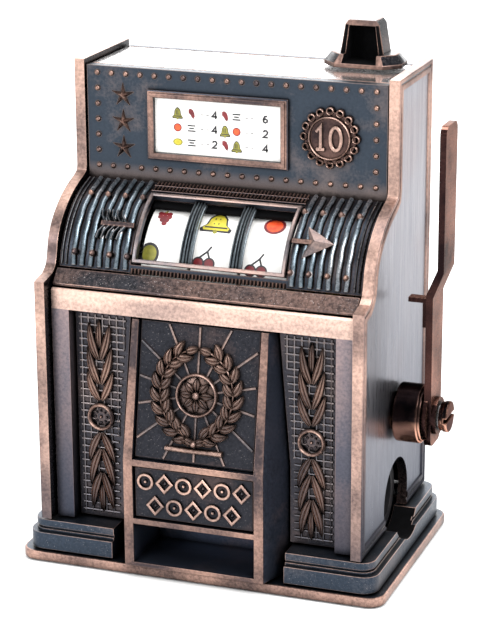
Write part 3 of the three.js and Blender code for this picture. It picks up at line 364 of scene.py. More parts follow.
def rounded(half_width, height, sink=0.25, steps=6):
    """Section of a bar with a round back, as (offset, height) points."""
    angles = [pi * k / steps for k in range(steps + 1)]
    back = [(-half_width * cos(a), height * sin(a)) for a in angles]
    return [(-half_width, -sink)] + back + [(half_width, -sink)]


def flat_top(half_width, height, bevel=EDGE_BEVEL, sink=0.25):
    return [(-half_width, -sink), (-half_width, height - bevel), (-half_width + bevel, height),
            (half_width - bevel, height), (half_width, height - bevel), (half_width, -sink)]


def placed(name, mesh):
    """A new object made from a bmesh, which is used up."""
    data = bpy.data.meshes.new(name)
    mesh.to_mesh(data)
    mesh.free()
    piece = bpy.data.objects.new(name, data)
    bpy.context.scene.collection.objects.link(piece)
    return piece


def show(node, mesh, materials, body="cabinet"):
    """Turns a bmesh into the shown piece that stands for a CAD node and rides on its body."""
    for face in mesh.faces:
        face.smooth = True
    for edge in mesh.edges:
        if len(edge.link_faces) == 2 and edge.calc_face_angle() > SHARP_ANGLE:
            edge.smooth = False
    piece = placed(node + "_finished", mesh)
    for material in materials:
        piece.data.materials.append(material)
    piece.modifiers.new("even_shading", "WEIGHTED_NORMAL").keep_sharp = True
    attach(piece, body)
    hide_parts(node)


class Relief:
    """Closed solids gathered in one mesh. place(u, v, height) gives a point in the row frame.
    Faces whose middle is marked higher than bright_above get the bright material. A point's mark is its
    height, or its height before a bar was made lower towards its end."""

    def __init__(self, place):
        self.place = place
        self.mesh = bmesh.new()
        self.use(0)

    def use(self, material, above=None, bright=1):
        """The numbers of the materials of what follows, and the mark above which faces are bright."""
        self.material = material
        self.bright_above = above
        self.bright = bright

    def face(self, points, mark):
        made = self.mesh.faces.new(points)
        is_bright = self.bright_above is not None and mark > self.bright_above
        made.material_index = self.bright if is_bright else self.material

    def stack(self, loops, ring=False, apex=None):
        """Skins a pile of closed loops; the ends are capped, joined to each other, or drawn to an apex."""
        rows = [[self.mesh.verts.new(self.place(*point[:3])) for point in loop] for loop in loops]
        count = len(loops[0])
        pairs = [(k, k + 1) for k in range(len(rows) - 1)]
        if ring:
            pairs.append((len(rows) - 1, 0))
        for low, high in pairs:
            for i in range(count):
                j = (i + 1) % count
                corners = (loops[low][i], loops[low][j], loops[high][i], loops[high][j])
                mark = sum(corner[-1] for corner in corners) / 4
                self.face((rows[low][i], rows[low][j], rows[high][j], rows[high][i]), mark)
        if ring:
            return
        self.face(rows[0], loops[0][0][2])
        if apex:
            tip = self.mesh.verts.new(self.place(*apex))
            for i in range(count):
                self.face((rows[-1][i], rows[-1][(i + 1) % count], tip), apex[2] / 2)
        else:
            self.face(rows[-1], loops[-1][0][2])

    def sweep(self, path, section, closed=False, scale=None):
        """A bar of the given section along a path of (u, v) points."""
        last = len(path) - 1
        loops = []
        for k, (u, v) in enumerate(path):
            steps = []
            if k or closed:
                before = path[k - 1]
                steps.append(Vector((u - before[0], v - before[1])).normalized())
            if k < last or closed:
                after = path[(k + 1) % len(path)]
                steps.append(Vector((after[0] - u, after[1] - v)).normalized())
            along = (steps[0] + steps[-1]).normalized()
            side = Vector((-along.y, along.x))
            mitre = 1 / max(0.4, side.dot(Vector((-steps[0].y, steps[0].x))))
            wide, tall = scale(k / last) if scale else (1.0, 1.0)
            reach = wide * mitre
            loops.append([(u + side.x * o * reach, v + side.y * o * reach, h * tall if h > 0 else h, h)
                          for o, h in section])
        self.stack(loops, ring=closed)

    def hoop(self, u, v, radius, sides, section):
        self.sweep(circle(u, v, radius, sides), section, closed=True)

    def disc(self, u, v, radius, height, sink=0.25):
        """A round plate with a bevelled edge."""
        inner = radius - EDGE_BEVEL / cos(pi / DISC_SIDES)
        levels = [(radius, -sink), (radius, height - EDGE_BEVEL), (inner, height)]
        self.stack([[(a, b, h) for a, b in circle(u, v, r, DISC_SIDES)] for r, h in levels])

    def dome(self, u, v, radius, height, sides=12):
        levels = [(1.0, -0.2)]
        for share in (0.0, 0.3, 0.6, 0.85):
            angle = share * pi / 2
            levels.append((cos(angle), height * sin(angle)))
        self.stack([[(a, b, h) for a, b in circle(u, v, radius * r, sides)] for r, h in levels])

    def facets(self, outline, middle, height, rim=0.05, sink=0.2):
        """A shape whose faces all rise to one point, such as a cut star."""
        self.stack([[(u, v, h) for u, v in outline] for h in (-sink, rim)], apex=(*middle, height))

    def slab(self, us, vs, low, high, keep=lambda i, j: True):
        """A plate over a grid of cells; keep(i, j) says which cells are there."""
        cells = [(i, j) for i in range(len(us) - 1) for j in range(len(vs) - 1) if keep(i, j)]
        made = {}

        def corner(spot, height):
            key = (spot, height)
            if key not in made:
                made[key] = self.mesh.verts.new(self.place(us[spot[0]], vs[spot[1]], height))
            return made[key]

        for i, j in cells:
            square = [(i, j), (i + 1, j), (i + 1, j + 1), (i, j + 1)]
            self.face([corner(spot, high) for spot in square], high)
            self.face([corner(spot, low) for spot in square], low)
            for k, beside in enumerate([(i, j - 1), (i + 1, j), (i, j + 1), (i - 1, j)]):
                if beside not in cells:
                    a, b = square[k], square[(k + 1) % 4]
                    self.face([corner(a, low), corner(b, low), corner(b, high), corner(a, high)], low)

    def close(self):
        """Turns all faces outwards and gives the mesh."""
        bmesh.ops.recalc_face_normals(self.mesh, faces=self.mesh.faces[:])
        return self.mesh

    def show(self, node, materials, slot, body="cabinet"):
        show(node, self.close(), materials, body)


def standing_at(front):
    """Places a relief on an upright plane that faces forwards."""
    return lambda u, v, height: at(u, front - height, v)


def softened(node, width, materials, body="cabinet", pick=None, above=28, segments=2, split_at=None):
    """The CAD piece itself with rounded edges in the second material. pick(middle, normal) gives the
    number of each face's material, in cabinet millimetres, after a cut at the height split_at."""
    mesh = bmesh.new()
    mesh.from_mesh(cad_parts[node].data)
    bmesh.ops.remove_doubles(mesh, verts=mesh.verts[:], dist=1e-6)
    bmesh.ops.dissolve_limit(mesh, angle_limit=radians(1.5), verts=mesh.verts[:], edges=mesh.edges[:])
    bmesh.ops.connect_verts_concave(mesh, faces=mesh.faces[:])
    if split_at:
        bmesh.ops.bisect_plane(mesh, geom=mesh.verts[:] + mesh.edges[:] + mesh.faces[:],
                               plane_co=(0, 0, split_at * MM), plane_no=(0, 0, 1))
    mesh.normal_update()
    for face in mesh.faces:
        middle = face.calc_center_median() / MM + Vector((0, HALF_DEPTH, 0))
        face.material_index = pick(middle, face.normal) if pick else 0
    edges = [e for e in mesh.edges if len(e.link_faces) == 2 and e.calc_face_angle_signed() > radians(above)]
    bmesh.ops.bevel(mesh, geom=edges, offset=width * MM, offset_type="OFFSET", segments=segments, profile=0.5,
                    affect="EDGES", clamp_overlap=True, material=1)
    show(node, mesh, materials, body)


# ---------------------------------------------------------------- side panels
HOOD_CURVE = [(3.0, 46.5), (4.3, 47.4), (4.95, 49.0), (5.5, 51.2), (6.75, 53.4), (8.6, 55.3),
              (11.0, 57.0), (13.6, 58.25), (16.0, 59.1), (16.9, 59.6)]
# steps inwards from the rim, over a groove and the border line: how wide, how high and of which material
RIM_STEPS = [(0.16, 0.0, 3), (0.02, 0.0, 3), (0.42, 0.0, 3), (0.1, -0.18, 0), (0.24, 0.0, 0), (0.1, 0.18, 3),
             (0.74, 0.0, 3), (0.14, -0.22, 3)]


def smooth_curve(points, steps=4):
    """A Catmull-Rom curve through the points."""
    curve = []
    padded = [points[0]] + points + [points[-1]]
    for near in zip(padded, padded[1:], padded[2:], padded[3:]):
        for k in range(steps):
            t = k / steps
            weights = (-t + 2 * t * t - t ** 3, 2 - 5 * t * t + 3 * t ** 3,
                       t + 4 * t * t - 3 * t ** 3, t ** 3 - t * t)
            curve.append(tuple(sum(w * p[axis] for w, p in zip(weights, near)) / 2 for axis in (0, 1)))
    return curve + [points[-1]]


def bore(mesh, holes):
    """Cuts round holes along X out of a bmesh and returns the new one."""
    blank = placed("blank", mesh)
    helpers = [blank]
    for y, z, radius, x0, x1 in holes:
        drill = Relief(lambda u, v, x: at(x, u, v))
        drill.stack([[(u, v, x) for u, v in circle(y, z, radius, 48)] for x in (x0, x1)])
        cut = blank.modifiers.new("cut", "BOOLEAN")
        cut.operation = "DIFFERENCE"
        cut.solver = "EXACT"
        cut.object = placed("cutter", drill.close())
        helpers.append(cut.object)
    whole = bpy.context.evaluated_depsgraph_get()
    result = bmesh.new()
    result.from_mesh(blank.evaluated_get(whole).to_mesh())
    for helper in helpers:
        bpy.data.objects.remove(helper)
    return result


def side_panel(side, node, holes):
    """Plate with a rounded rim, a groove, a raised border line and a sunk brushed field."""
    outline = [(0, SIDE_BOTTOM), (DEPTH, SIDE_BOTTOM), (DEPTH, SIDE_TOP), (UPPER_FRONT, SIDE_TOP),
               (UPPER_FRONT, UPPER_FRONT_FOOT)] + smooth_curve(HOOD_CURVE)[::-1] + [(0, KNEE_HEIGHT)]
    mesh = bmesh.new()
    faces_x = (HALF_WIDTH - SIDE_THICKNESS, HALF_WIDTH)
    rows = [[mesh.verts.new(at(side * x, y, z)) for y, z in outline] for x in faces_x]
    for i in range(len(outline)):
        j = (i + 1) % len(outline)
        wall = mesh.faces.new((rows[0][i], rows[0][j], rows[1][j], rows[1][i]))
        wall.material_index = 0 if outline[i][0] == DEPTH and outline[j][0] == DEPTH else 1
    mesh.faces.new(rows[0])
    field = mesh.faces.new(rows[1])
    bmesh.ops.recalc_face_normals(mesh, faces=mesh.faces[:])
    for thickness, depth, material in RIM_STEPS:
        around = bmesh.ops.inset_region(mesh, faces=[field], thickness=thickness * MM, depth=depth * MM,
                                        use_even_offset=True, use_boundary=True)
        for face in around["faces"]:
            face.material_index = material
    field.material_index = 2
    outer_rim = [e for e in mesh.edges if e.calc_face_angle(0) > radians(60)
                 and all(v.co.x * side > (HALF_WIDTH - 0.01) * MM for v in e.verts)]
    bmesh.ops.bevel(mesh, geom=outer_rim, offset=0.14 * MM, offset_type="OFFSET", segments=2, profile=0.5,
                    affect="EDGES", clamp_overlap=False, material=3)
    if holes:
        mesh = bore(mesh, holes)
    show(node, mesh, [HEAD, EDGE, SIDE, BORDER])


side_panel(-1, "side_panel_left", [])
side_panel(1, "side_panel_right", [
    (LEVER_Y, LEVER_Z, LEVER_HOLE_RADIUS, 20, 30),
    (PENCIL_Y, PENCIL_Z, PENCIL_HOLE_RADIUS, 20, 32),
])

# ---------------------------------------------------------------- base, lower front frame and centre section
PENCIL_HOLE_START = 23.9


def wedge_front(z):
    """Where the tilted front of the centre section is at a height, and its half width there."""
    share = min(1.0, max(0.0, (RAIL_BOTTOM - z) / (RAIL_BOTTOM - WEDGE_KNEE)))
    return (FRAME_FRONT + share * (WEDGE_FRONT - FRAME_FRONT),
            WEDGE_HALF_TOP + share * (WEDGE_HALF_LOW - WEDGE_HALF_TOP))


def moulding_material(middle, normal):
    """Painted shade: black where the pencil hole passes through."""
    from_wall = abs(hypot(middle.y - PENCIL_Y, middle.z - PENCIL_Z) - PENCIL_HOLE_RADIUS)
    return 2 if middle.x > PENCIL_HOLE_START and from_wall < 0.2 and abs(normal.x) < 0.5 else 0


def centre_material(middle, normal):
    """Copper on the tilted front, where it is rubbed most."""
    return 1 if normal.y < -0.9 and abs(middle.y - wedge_front(middle.z)[0]) < 0.2 else 0


softened("base_plate", 0.3, [MOULDING, BASE],
         pick=lambda middle, normal: 1 if abs(normal.z) < 0.5 else 0)
softened("base_moulding", 0.14, [MOULDING, WORN, SHADE_BLACK], pick=moulding_material, above=50)
softened("front_frame", 0.16, [PLAIN, RUBBED, RAIL], split_at=RAIL_BOTTOM,
         pick=lambda middle, normal: 2 if middle.z > RAIL_BOTTOM and normal.y < -0.3 else 0)
softened("deck_ledge", 0.1, [DECK, HALF_RUBBED])
softened("centre_section", 0.14, [DRAFTED, HALF_RUBBED], pick=centre_material)

# ---------------------------------------------------------------- lattice panels
LEAF_X = 17.3
RING_Z = 23.8
RING_RADIUS = 1.95
# root and tip of each pair, counted from the ring, and how far the tips stand apart from the middle
LEAF_PAIRS = [(9.4, 15.2, 1.7), (5.4, 11.5, 1.95), (2.7, 7.6, 2.1)]
END_LEAF = (11.4, 15.9)
LEAF_ROOT_OFFSET = 0.2
LEAF_BRIGHT = 0.65
GRID_PITCH = 1.18
GRID_MARGIN = 0.7


def wedge_root_at(z):
    """Half width of the centre section where it meets the lattice."""
    front, half = wedge_front(z)
    return half + WEDGE_DRAFT * (LATTICE_FRONT - front) + 0.35


def ridged(half_width, height):
    """Section of a leaf: a raised rim, a shallow valley on each side and a midrib."""
    half = [(-1, 0.5), (-0.86, 0.85), (-0.64, 0.6), (-0.22, 0.62)]
    points = half + [(0, 0.9)] + [(-o, h) for o, h in half[::-1]]
    return [(-half_width, -0.25)] + [(o * half_width, h * height) for o, h in points] + [(half_width, -0.25)]


def leaf(relief, root, tip, half_width, height, bend=0.0):
    """A ridged leaf from root to tip; bend pushes its middle sideways."""
    relief.bright_above = LEAF_BRIGHT * height
    root = Vector(root)
    along = Vector(tip) - root
    side = Vector((-along.y, along.x)).normalized()
    path = [root + along * share + side * bend * sin(pi * share) for share in spread(0, 1, 9)]

    def shape(share):
        wide = 0.12 + 0.88 * sin(pi * min(1.0, 0.08 + 0.92 * share ** 0.85)) ** 0.8
        return wide, 0.45 + 0.55 * wide

    relief.sweep(path, ridged(half_width, height), scale=shape)


def lattice_panel(side, node):
    relief = Relief(lambda u, v, height: at(side * u, LATTICE_FRONT - height, v))
    top, bottom = RAIL_BOTTOM - GAP, MOULDING_TOP + GAP
    outer = STILE_INNER - GAP
    outline = [(wedge_root_at(bottom), bottom), (outer, bottom), (outer, top), (wedge_root_at(top), top),
               (wedge_root_at(WEDGE_KNEE), WEDGE_KNEE)]
    relief.stack([[(u, v, h) for u, v in outline] for h in (LATTICE_FRONT - LATTICE_BACK, 0.0)])
    bar = rounded(0.2, 0.3, 0.1, 4)
    relief.use(0, 0.2, bright=2)
    rows = int((top - bottom - 1.6) / GRID_PITCH)
    for k in range(rows + 1):
        z = bottom + 1.0 + GRID_PITCH * k
        relief.sweep([(wedge_root_at(z) + GRID_MARGIN, z), (outer - 0.6, z)], bar)
    columns = int((outer - 1.75 - wedge_root_at(top)) / GRID_PITCH)
    for k in range(columns + 1):
        x = outer - 0.95 - GRID_PITCH * k
        low = bottom + GRID_MARGIN
        if x < wedge_root_at(bottom) + GRID_MARGIN:
            low = next(z for z in spread(bottom, top, 60) if wedge_root_at(z) + GRID_MARGIN < x)
        relief.sweep([(x, low), (x, top - 0.6)], bar)
    relief.use(3)
    for way in (1, -1):
        for k, (root, tip, apart) in enumerate(LEAF_PAIRS):
            for hand in (-1, 1):
                leaf(relief, (LEAF_X + hand * LEAF_ROOT_OFFSET, RING_Z + way * root),
                     (LEAF_X + hand * apart, RING_Z + way * tip), 0.64, 1.0 - 0.05 * k, -0.25 * hand * way)
        leaf(relief, (LEAF_X, RING_Z + way * END_LEAF[0]), (LEAF_X, RING_Z + way * END_LEAF[1]), 0.5, 0.9)
    relief.use(0)
    relief.dome(LEAF_X, RING_Z, 1.9, 0.35, sides=24)
    relief.use(0, 0.5)
    relief.hoop(LEAF_X, RING_Z, RING_RADIUS, 32, rounded(0.34, 1.05))
    relief.use(0)
    for u, v in circle(LEAF_X, RING_Z, 0.95, 8):
        relief.dome(u, v, 0.3, 0.55, sides=8)
    relief.use(0, 0.5)
    relief.dome(LEAF_X, RING_Z, 0.36, 0.7, sides=10)
    relief.show(node, [LATTICE, RUBBED, GRID, LEAF], "gunmetal")


lattice_panel(1, "lattice_panel_right")
lattice_panel(-1, "lattice_panel_left")

# ---------------------------------------------------------------- emblem: laurel wreath, rosette and rays
TILT = atan2(FRAME_FRONT - WEDGE_FRONT, RAIL_BOTTOM - WEDGE_KNEE)
EMBLEM_HALF = POCKET_HALF_WIDTH - GAP
EMBLEM_LENGTH = (RAIL_BOTTOM - UPPER_BAR[1]) / cos(TILT) - 0.9
EMBLEM_MIDDLE = 10.5
EMBLEM_THICKNESS = 0.35
ORNAMENT_PITCH = 3.15
RAYS = 14
WREATH_HALF = (5.9, 6.8)
LEAF_STEPS = 9
ROSETTE_RADIUS = 3.15
PETALS = 8


def on_emblem(u, v, height):
    """Points on the tilted emblem plate: v runs up the slope from its lower edge."""
    y = wedge_front(UPPER_BAR[1])[0] + POCKET_DEPTH - EMBLEM_THICKNESS - 0.15
    return at(u, y - height * cos(TILT) + v * sin(TILT),
              UPPER_BAR[1] + 0.4 + height * sin(TILT) + v * cos(TILT))


def round_middle(radius, angle):
    """A point of the emblem, given by its distance and direction from the middle."""
    return radius * cos(angle), EMBLEM_MIDDLE + radius * sin(angle)


def branch(relief, side):
    """One half of the wreath: a stem with pairs of leaves, and one leaf at its end."""
    relief.use(3, 0.4)
    stem = []
    for k in range(2 * LEAF_STEPS + 1):
        angle = radians(-80 + 150 * k / (2 * LEAF_STEPS))
        stem.append((side * WREATH_HALF[0] * cos(angle), EMBLEM_MIDDLE + 0.2 + WREATH_HALF[1] * sin(angle)))
    relief.sweep(stem, rounded(0.26, 0.6))
    for k in range(LEAF_STEPS):
        here, ahead = Vector(stem[2 * k]), Vector(stem[2 * k + 1])
        along = (ahead - here).normalized()
        across = Vector((-along.y, along.x))
        for hand in (-1, 1):
            leaf(relief, here, here + along * 2.3 + across * 1.35 * hand, 0.66, 1.05, 0.25 * hand)
    leaf(relief, stem[-1], Vector(stem[-1]) + Vector((-side * 2.0, 0.6)), 0.62, 1.0)


def emblem_plate():
    relief = Relief(on_emblem)
    relief.slab([-EMBLEM_HALF, EMBLEM_HALF], [0, EMBLEM_LENGTH], -EMBLEM_THICKNESS, 0.0)
    relief.use(0, 0.14, bright=2)
    for k in range(RAYS):
        angle = 2 * pi * (k + 0.5) / RAYS
        across, up = cos(angle), sin(angle)
        to_side = (EMBLEM_HALF - 0.2) / max(0.02, abs(across))
        to_end = (EMBLEM_LENGTH - EMBLEM_MIDDLE if up > 0 else EMBLEM_MIDDLE) / max(0.02, abs(up)) - 0.2
        relief.sweep([round_middle(2.5, angle), round_middle(min(to_side, to_end), angle)],
                     rounded(0.21, 0.3, 0.1, 4))
    branch(relief, -1)
    branch(relief, 1)
    # rosette
    relief.use(3)
    relief.dome(0, EMBLEM_MIDDLE, 3.1, 0.45, sides=32)
    relief.use(3, 0.5)
    relief.hoop(0, EMBLEM_MIDDLE, ROSETTE_RADIUS, 36, rounded(0.3, 0.85))
    for k in range(PETALS):
        angle = 2 * pi * k / PETALS
        leaf(relief, round_middle(0.5, angle), round_middle(2.75, angle), 0.68, 1.15)
    relief.use(3, 0.8)
    relief.dome(0, EMBLEM_MIDDLE, 0.75, 1.35, sides=16)
    # plain bar and bow where the branches cross
    relief.use(3, 0.4)
    relief.sweep([(-4.6, 1.9), (4.6, 1.9)], rounded(0.45, 0.8))
    for hand in (-1, 1):
        leaf(relief, (0, 2.9), (hand * 2.4, 3.9), 0.6, 1.1)
    relief.dome(0, 3.0, 0.62, 1.2)
    relief.show("emblem_plate", [FIELD, RUBBED, WORN, LEAF], "gunmetal")


def ornament_plate():
    """Two rows of plain rings and lozenges."""
    low, high = LOWER_BAR[1] + GAP, UPPER_BAR[0] - GAP
    relief = Relief(standing_at(WEDGE_FRONT + POCKET_DEPTH - GAP - EMBLEM_THICKNESS))
    relief.slab([-EMBLEM_HALF, EMBLEM_HALF], [low, high], -EMBLEM_THICKNESS, 0.0)
    line = flat_top(0.2, 0.42)
    relief.use(0, 0.3)
    for z, count, first_is_ring in ((high - 2.15, 6, True), (low + 2.15, 5, False)):
        for k in range(count):
            x = ORNAMENT_PITCH * (k - (count - 1) / 2)
            if (k % 2 == 0) == first_is_ring:
                relief.hoop(x, z, 1.15, 28, line)
                relief.dome(x, z, 0.34, 0.4)
            else:
                relief.sweep([(x, z - 1.35), (x + 1.2, z), (x, z + 1.35), (x - 1.2, z)], line, closed=True)
                relief.facets([(x, z - 0.55), (x + 0.5, z), (x, z + 0.55), (x - 0.5, z)], (x, z), 0.42)
    relief.show("ornament_plate", [FIELD, RUBBED], "gunmetal")


emblem_plate()
ornament_plate()

# ---------------------------------------------------------------- reel hood and window
HOOD_LENGTH = radians(HOOD_ANGLES[1] - HOOD_ANGLES[0]) * HOOD_RADIUS
HOOD_TOP_RUN = 2.85
HOOD_BOTTOM_RUN = 1.1
ARROW_ANGLE = 140
BALL_COLUMNS = [13.2, 16.1, 19.0, 21.9]
BALL_ANGLES = (117, 160)
RIBS = 7
FIRST_RIB = 13.5
RIB_PITCH = 1.43
THIN_RIBS = (23.3, 24.0)
TEETH = 43
TEETH_HALF_WIDTH = 12.3
BARBS = 5
APRON_ANGLE = 6.5
APRON_HEIGHTS = (-1.65, -1.05)
APRON_HALF_WIDTH = 11.75


def hood_run(degrees):
    """How far down the hood an angle lies, in millimetres."""
    return radians(degrees - HOOD_ANGLES[0]) * HOOD_RADIUS


def on_hood(u, run, height):
    """Points on the hood; beyond its curve the hood goes on straight."""
    inside = min(max(run, 0.0), HOOD_LENGTH)
    angle = radians(HOOD_ANGLES[0]) + inside / HOOD_RADIUS
    radius = HOOD_RADIUS + height
    beyond = run - inside
    return at(u, REEL_Y + radius * cos(angle) - beyond * sin(angle),
              REEL_Z + radius * sin(angle) + beyond * cos(angle))


def upright(u, first, last, count):
    return [(u, run) for run in spread(first, last, count)]


def reel_hood():
    relief = Relief(on_hood)
    above, below = hood_run(WINDOW_ANGLES[0] - 1.4), hood_run(WINDOW_ANGLES[1] + 1.4)
    clear = WINDOW_HALF_WIDTH + GAP
    runs = [-HOOD_TOP_RUN] + spread(0, above, 3) + spread(above, below, 30)[1:]
    runs += spread(below, HOOD_LENGTH, 3)[1:] + [HOOD_LENGTH + HOOD_BOTTOM_RUN]
    is_open = [above - 1e-6 <= first and last <= below + 1e-6 for first, last in zip(runs, runs[1:])]
    relief.slab([-INNER_HALF_WIDTH, -clear, clear, INNER_HALF_WIDTH], runs,
                HOOD_INNER_RADIUS - HOOD_RADIUS, 0.0, keep=lambda i, j: i != 1 or not is_open[j])
    top, bottom = -HOOD_TOP_RUN + 0.5, HOOD_LENGTH + 0.7
    for side in (-1, 1):
        # rib tops take the lighter ribbed metal: a painted highlight, with a little copper rubbed through
        relief.use(0, 0.3, bright=2)
        for k in range(RIBS):
            u = FIRST_RIB + RIB_PITCH * k
            path = [(side * (u + 0.05 * sin(1.7 * run + 2 * k)), run)
                    for run in spread(top + 0.4 * (k % 2), bottom, 24)]
            relief.sweep(path, rounded(0.46, 0.65, 0.3))
        for u in THIN_RIBS:
            relief.sweep(upright(side * u, top, bottom, 20), rounded(0.16, 0.4, 0.3, 4))
        relief.use(0, 0.5)
        for angle in BALL_ANGLES:
            for u in BALL_COLUMNS:
                relief.dome(side * u, hood_run(angle), 0.56, 1.12)
    arrow(relief)
    fletching(relief)
    # fine teeth above and below the window
    relief.use(0, 0.34)
    teeth = [(above - 1.7, above - 0.75), (above - 3.0, above - 2.1), (below + 0.55, below + 1.35)]
    for u in spread(-TEETH_HALF_WIDTH, TEETH_HALF_WIDTH, TEETH):
        for first, last in teeth:
            relief.sweep([(u, first), (u, last)], rounded(0.2, 0.42, 0.2, 4))
    for run in (above - 1.95, above - 0.45):
        relief.sweep([(u, run) for u in (-12.6, 0.0, 12.6)], rounded(0.16, 0.36, 0.2, 4))
    relief.show("reel_hood", [GUNMETAL, HALF_RUBBED, RIBBED, WORN], "gunmetal")


def arrow(relief):
    """Right of the window: a shaft and a faceted head, pointing away from it."""
    run = hood_run(ARROW_ANGLE)
    relief.use(0, 0.8)
    relief.sweep([(12.8, run), (16.6, run)], flat_top(0.36, 1.0, 0.12, 0.3))
    half = [(15.5, 0.0), (15.0, 1.35), (14.7, 2.5), (17.0, 1.3), (19.3, 0.0)]
    outline = [(u, run + d) for u, d in half] + [(u, run - d) for u, d in half[-2:0:-1]]
    relief.use(3)
    relief.facets(outline, (16.4, run), 1.45, rim=0.7, sink=0.3)


def fletching(relief):
    """Left of the window: the tail of the same arrow."""
    run = hood_run(ARROW_ANGLE)
    relief.use(0, 0.8)
    relief.sweep([(-12.8, run), (-18.2, run)], flat_top(0.36, 1.0, 0.12, 0.3))
    relief.use(2)
    for k in range(BARBS):
        u = -14.3 - 0.85 * k
        for side in (-1, 1):
            relief.sweep([(u, run + side * 0.25), (u - 0.75, run + side * 1.25), (u - 1.0, run + side * 2.3)],
                         rounded(0.28, 0.95, 0.3, 4))


def window_frame():
    relief = Relief(on_hood)
    first, last = hood_run(WINDOW_ANGLES[0]), hood_run(WINDOW_ANGLES[1])
    inset = WINDOW_RIM / 2
    right = upright(WINDOW_HALF_WIDTH - inset, first + inset, last - inset, 24)
    left = [(-u, run) for u, run in right[::-1]]
    relief.use(0, 0.3)
    relief.sweep(right + left, [(-inset, -0.45), (-inset, 0.38), (-inset + 0.14, 0.55), (inset - 0.14, 0.55),
                                (inset, 0.38), (inset, -0.45)], closed=True)
    # painted shade: a black apron behind the top of the window, where the drum lies in shadow
    relief.use(2)
    apron_end = first + radians(APRON_ANGLE) * HOOD_RADIUS
    relief.slab([-APRON_HALF_WIDTH, APRON_HALF_WIDTH], spread(first, apron_end, 6), *APRON_HEIGHTS)
    relief.use(3)
    deep = HOOD_INNER_RADIUS + 0.15 - HOOD_RADIUS
    divider = [(-1.0, deep), (-1.0, -0.55), (-0.8, -0.42), (0.8, -0.42), (1.0, -0.55), (1.0, deep)]
    for side in (-1, 1):
        path = upright(side * REEL_PITCH / 2, first + WINDOW_RIM - 0.1, last - WINDOW_RIM + 0.1, 20)
        relief.sweep(path, divider)
        for offset, rib in ((-0.72, 0.14), (-0.2, 0.17), (0.28, 0.15), (0.74, 0.13)):
            bar = [(o, h - 0.42) for o, h in rounded(rib, 0.36, 0.1, 4)]
            relief.sweep([(u + offset, v) for u, v in path], bar)
    relief.show("window_frame", [GUNMETAL, WORN, SHADE_BLACK, DIVIDER], "rubbed_copper")


reel_hood()
window_frame()

# ---------------------------------------------------------------- award panel
BEAD_X = 22.7
BEAD_Z = (60.55, 75.3)
STAR_X = -18.45
STAR_HEIGHTS = (63.65, 67.8, 71.95)


def card_sides(margin):
    """Left and right, then lower and upper side of the card with a margin round it."""
    return [(middle - half - margin, middle + half + margin) for middle, half in zip(CARD_MIDDLE, CARD_HALF)]


def award_panel():
    relief = Relief(standing_at(AWARD_FRONT))
    across, up = card_sides(0.2)
    relief.slab([-INNER_HALF_WIDTH, *across, INNER_HALF_WIDTH], [AWARD_BOTTOM, *up, AWARD_TOP], -1.5, 0.0,
                keep=lambda i, j: (i, j) != (1, 1))
    relief.slab(across, up, -1.5, -0.5)
    relief.use(0, 0.24)
    beads = [(x, z) for x in spread(-BEAD_X, BEAD_X, 20) for z in BEAD_Z]
    beads += [(x, z) for x in (-BEAD_X, BEAD_X) for z in spread(*BEAD_Z, 7)[1:-1]]
    for x, z in beads:
        relief.dome(x, z, 0.46, 0.5)
    relief.use(0, 0.2)
    for z in STAR_HEIGHTS:
        relief.facets(star(STAR_X, z, 1.95, 0.62), (STAR_X, z), 0.75, rim=0.08)
    relief.show("award_panel", [AWARD, HALF_RUBBED], "gunmetal")


def card_frame():
    relief = Relief(standing_at(AWARD_FRONT))
    (left, right), (low, high) = card_sides(CARD_FRAME_WIDTH / 2)
    corners = [(left, low), (right, low), (right, high), (left, high)]
    relief.use(0, 0.58)
    relief.sweep(corners, [(-0.6, 0.1), (-0.6, 0.5), (-0.42, 0.62), (-0.2, 0.62), (-0.12, 0.78), (0.08, 0.84),
                           (0.4, 0.84), (0.54, 0.7), (0.54, 0.1)], closed=True)
    relief.show("card_frame", [GUNMETAL, HALF_RUBBED], "rubbed_copper")


def medallion():
    """A disc with a ring of small hoops round a plain ten."""
    x, z = MEDALLION
    relief = Relief(standing_at(AWARD_FRONT - 0.15))
    relief.disc(x, z, MEDALLION_RADIUS, 0.3, sink=0.0)
    relief.use(0, 0.42)
    for u, v in circle(x, z, MEDALLION_RADIUS + 0.02, 16):
        relief.hoop(u, v, 0.52, 12, rounded(0.2, 0.55, 0.0, 4))
    relief.use(0, 0.8)
    relief.disc(x, z, MEDALLION_INNER, 0.5)
    relief.hoop(x, z, MEDALLION_INNER - 0.08, DISC_SIDES, rounded(0.26, 0.92))
    line = flat_top(0.27, 0.92, 0.1)
    relief.sweep([(x - 2.0, z + 0.95), (x - 1.35, z + 1.75), (x - 1.35, z - 1.7)], line)
    relief.sweep([(x - 2.0, z - 1.75), (x - 0.7, z - 1.75)], line)
    relief.sweep(circle(x + 1.05, z, 0.88, 24, 2.0), line, closed=True)
    relief.show("medallion", [COIN, RUBBED], "gunmetal")


award_panel()
card_frame()
medallion()

# ---------------------------------------------------------------- printed card
INK_HEIGHT = 0.03
INK_SINK = 0.02
LAYER_STEP = 0.006
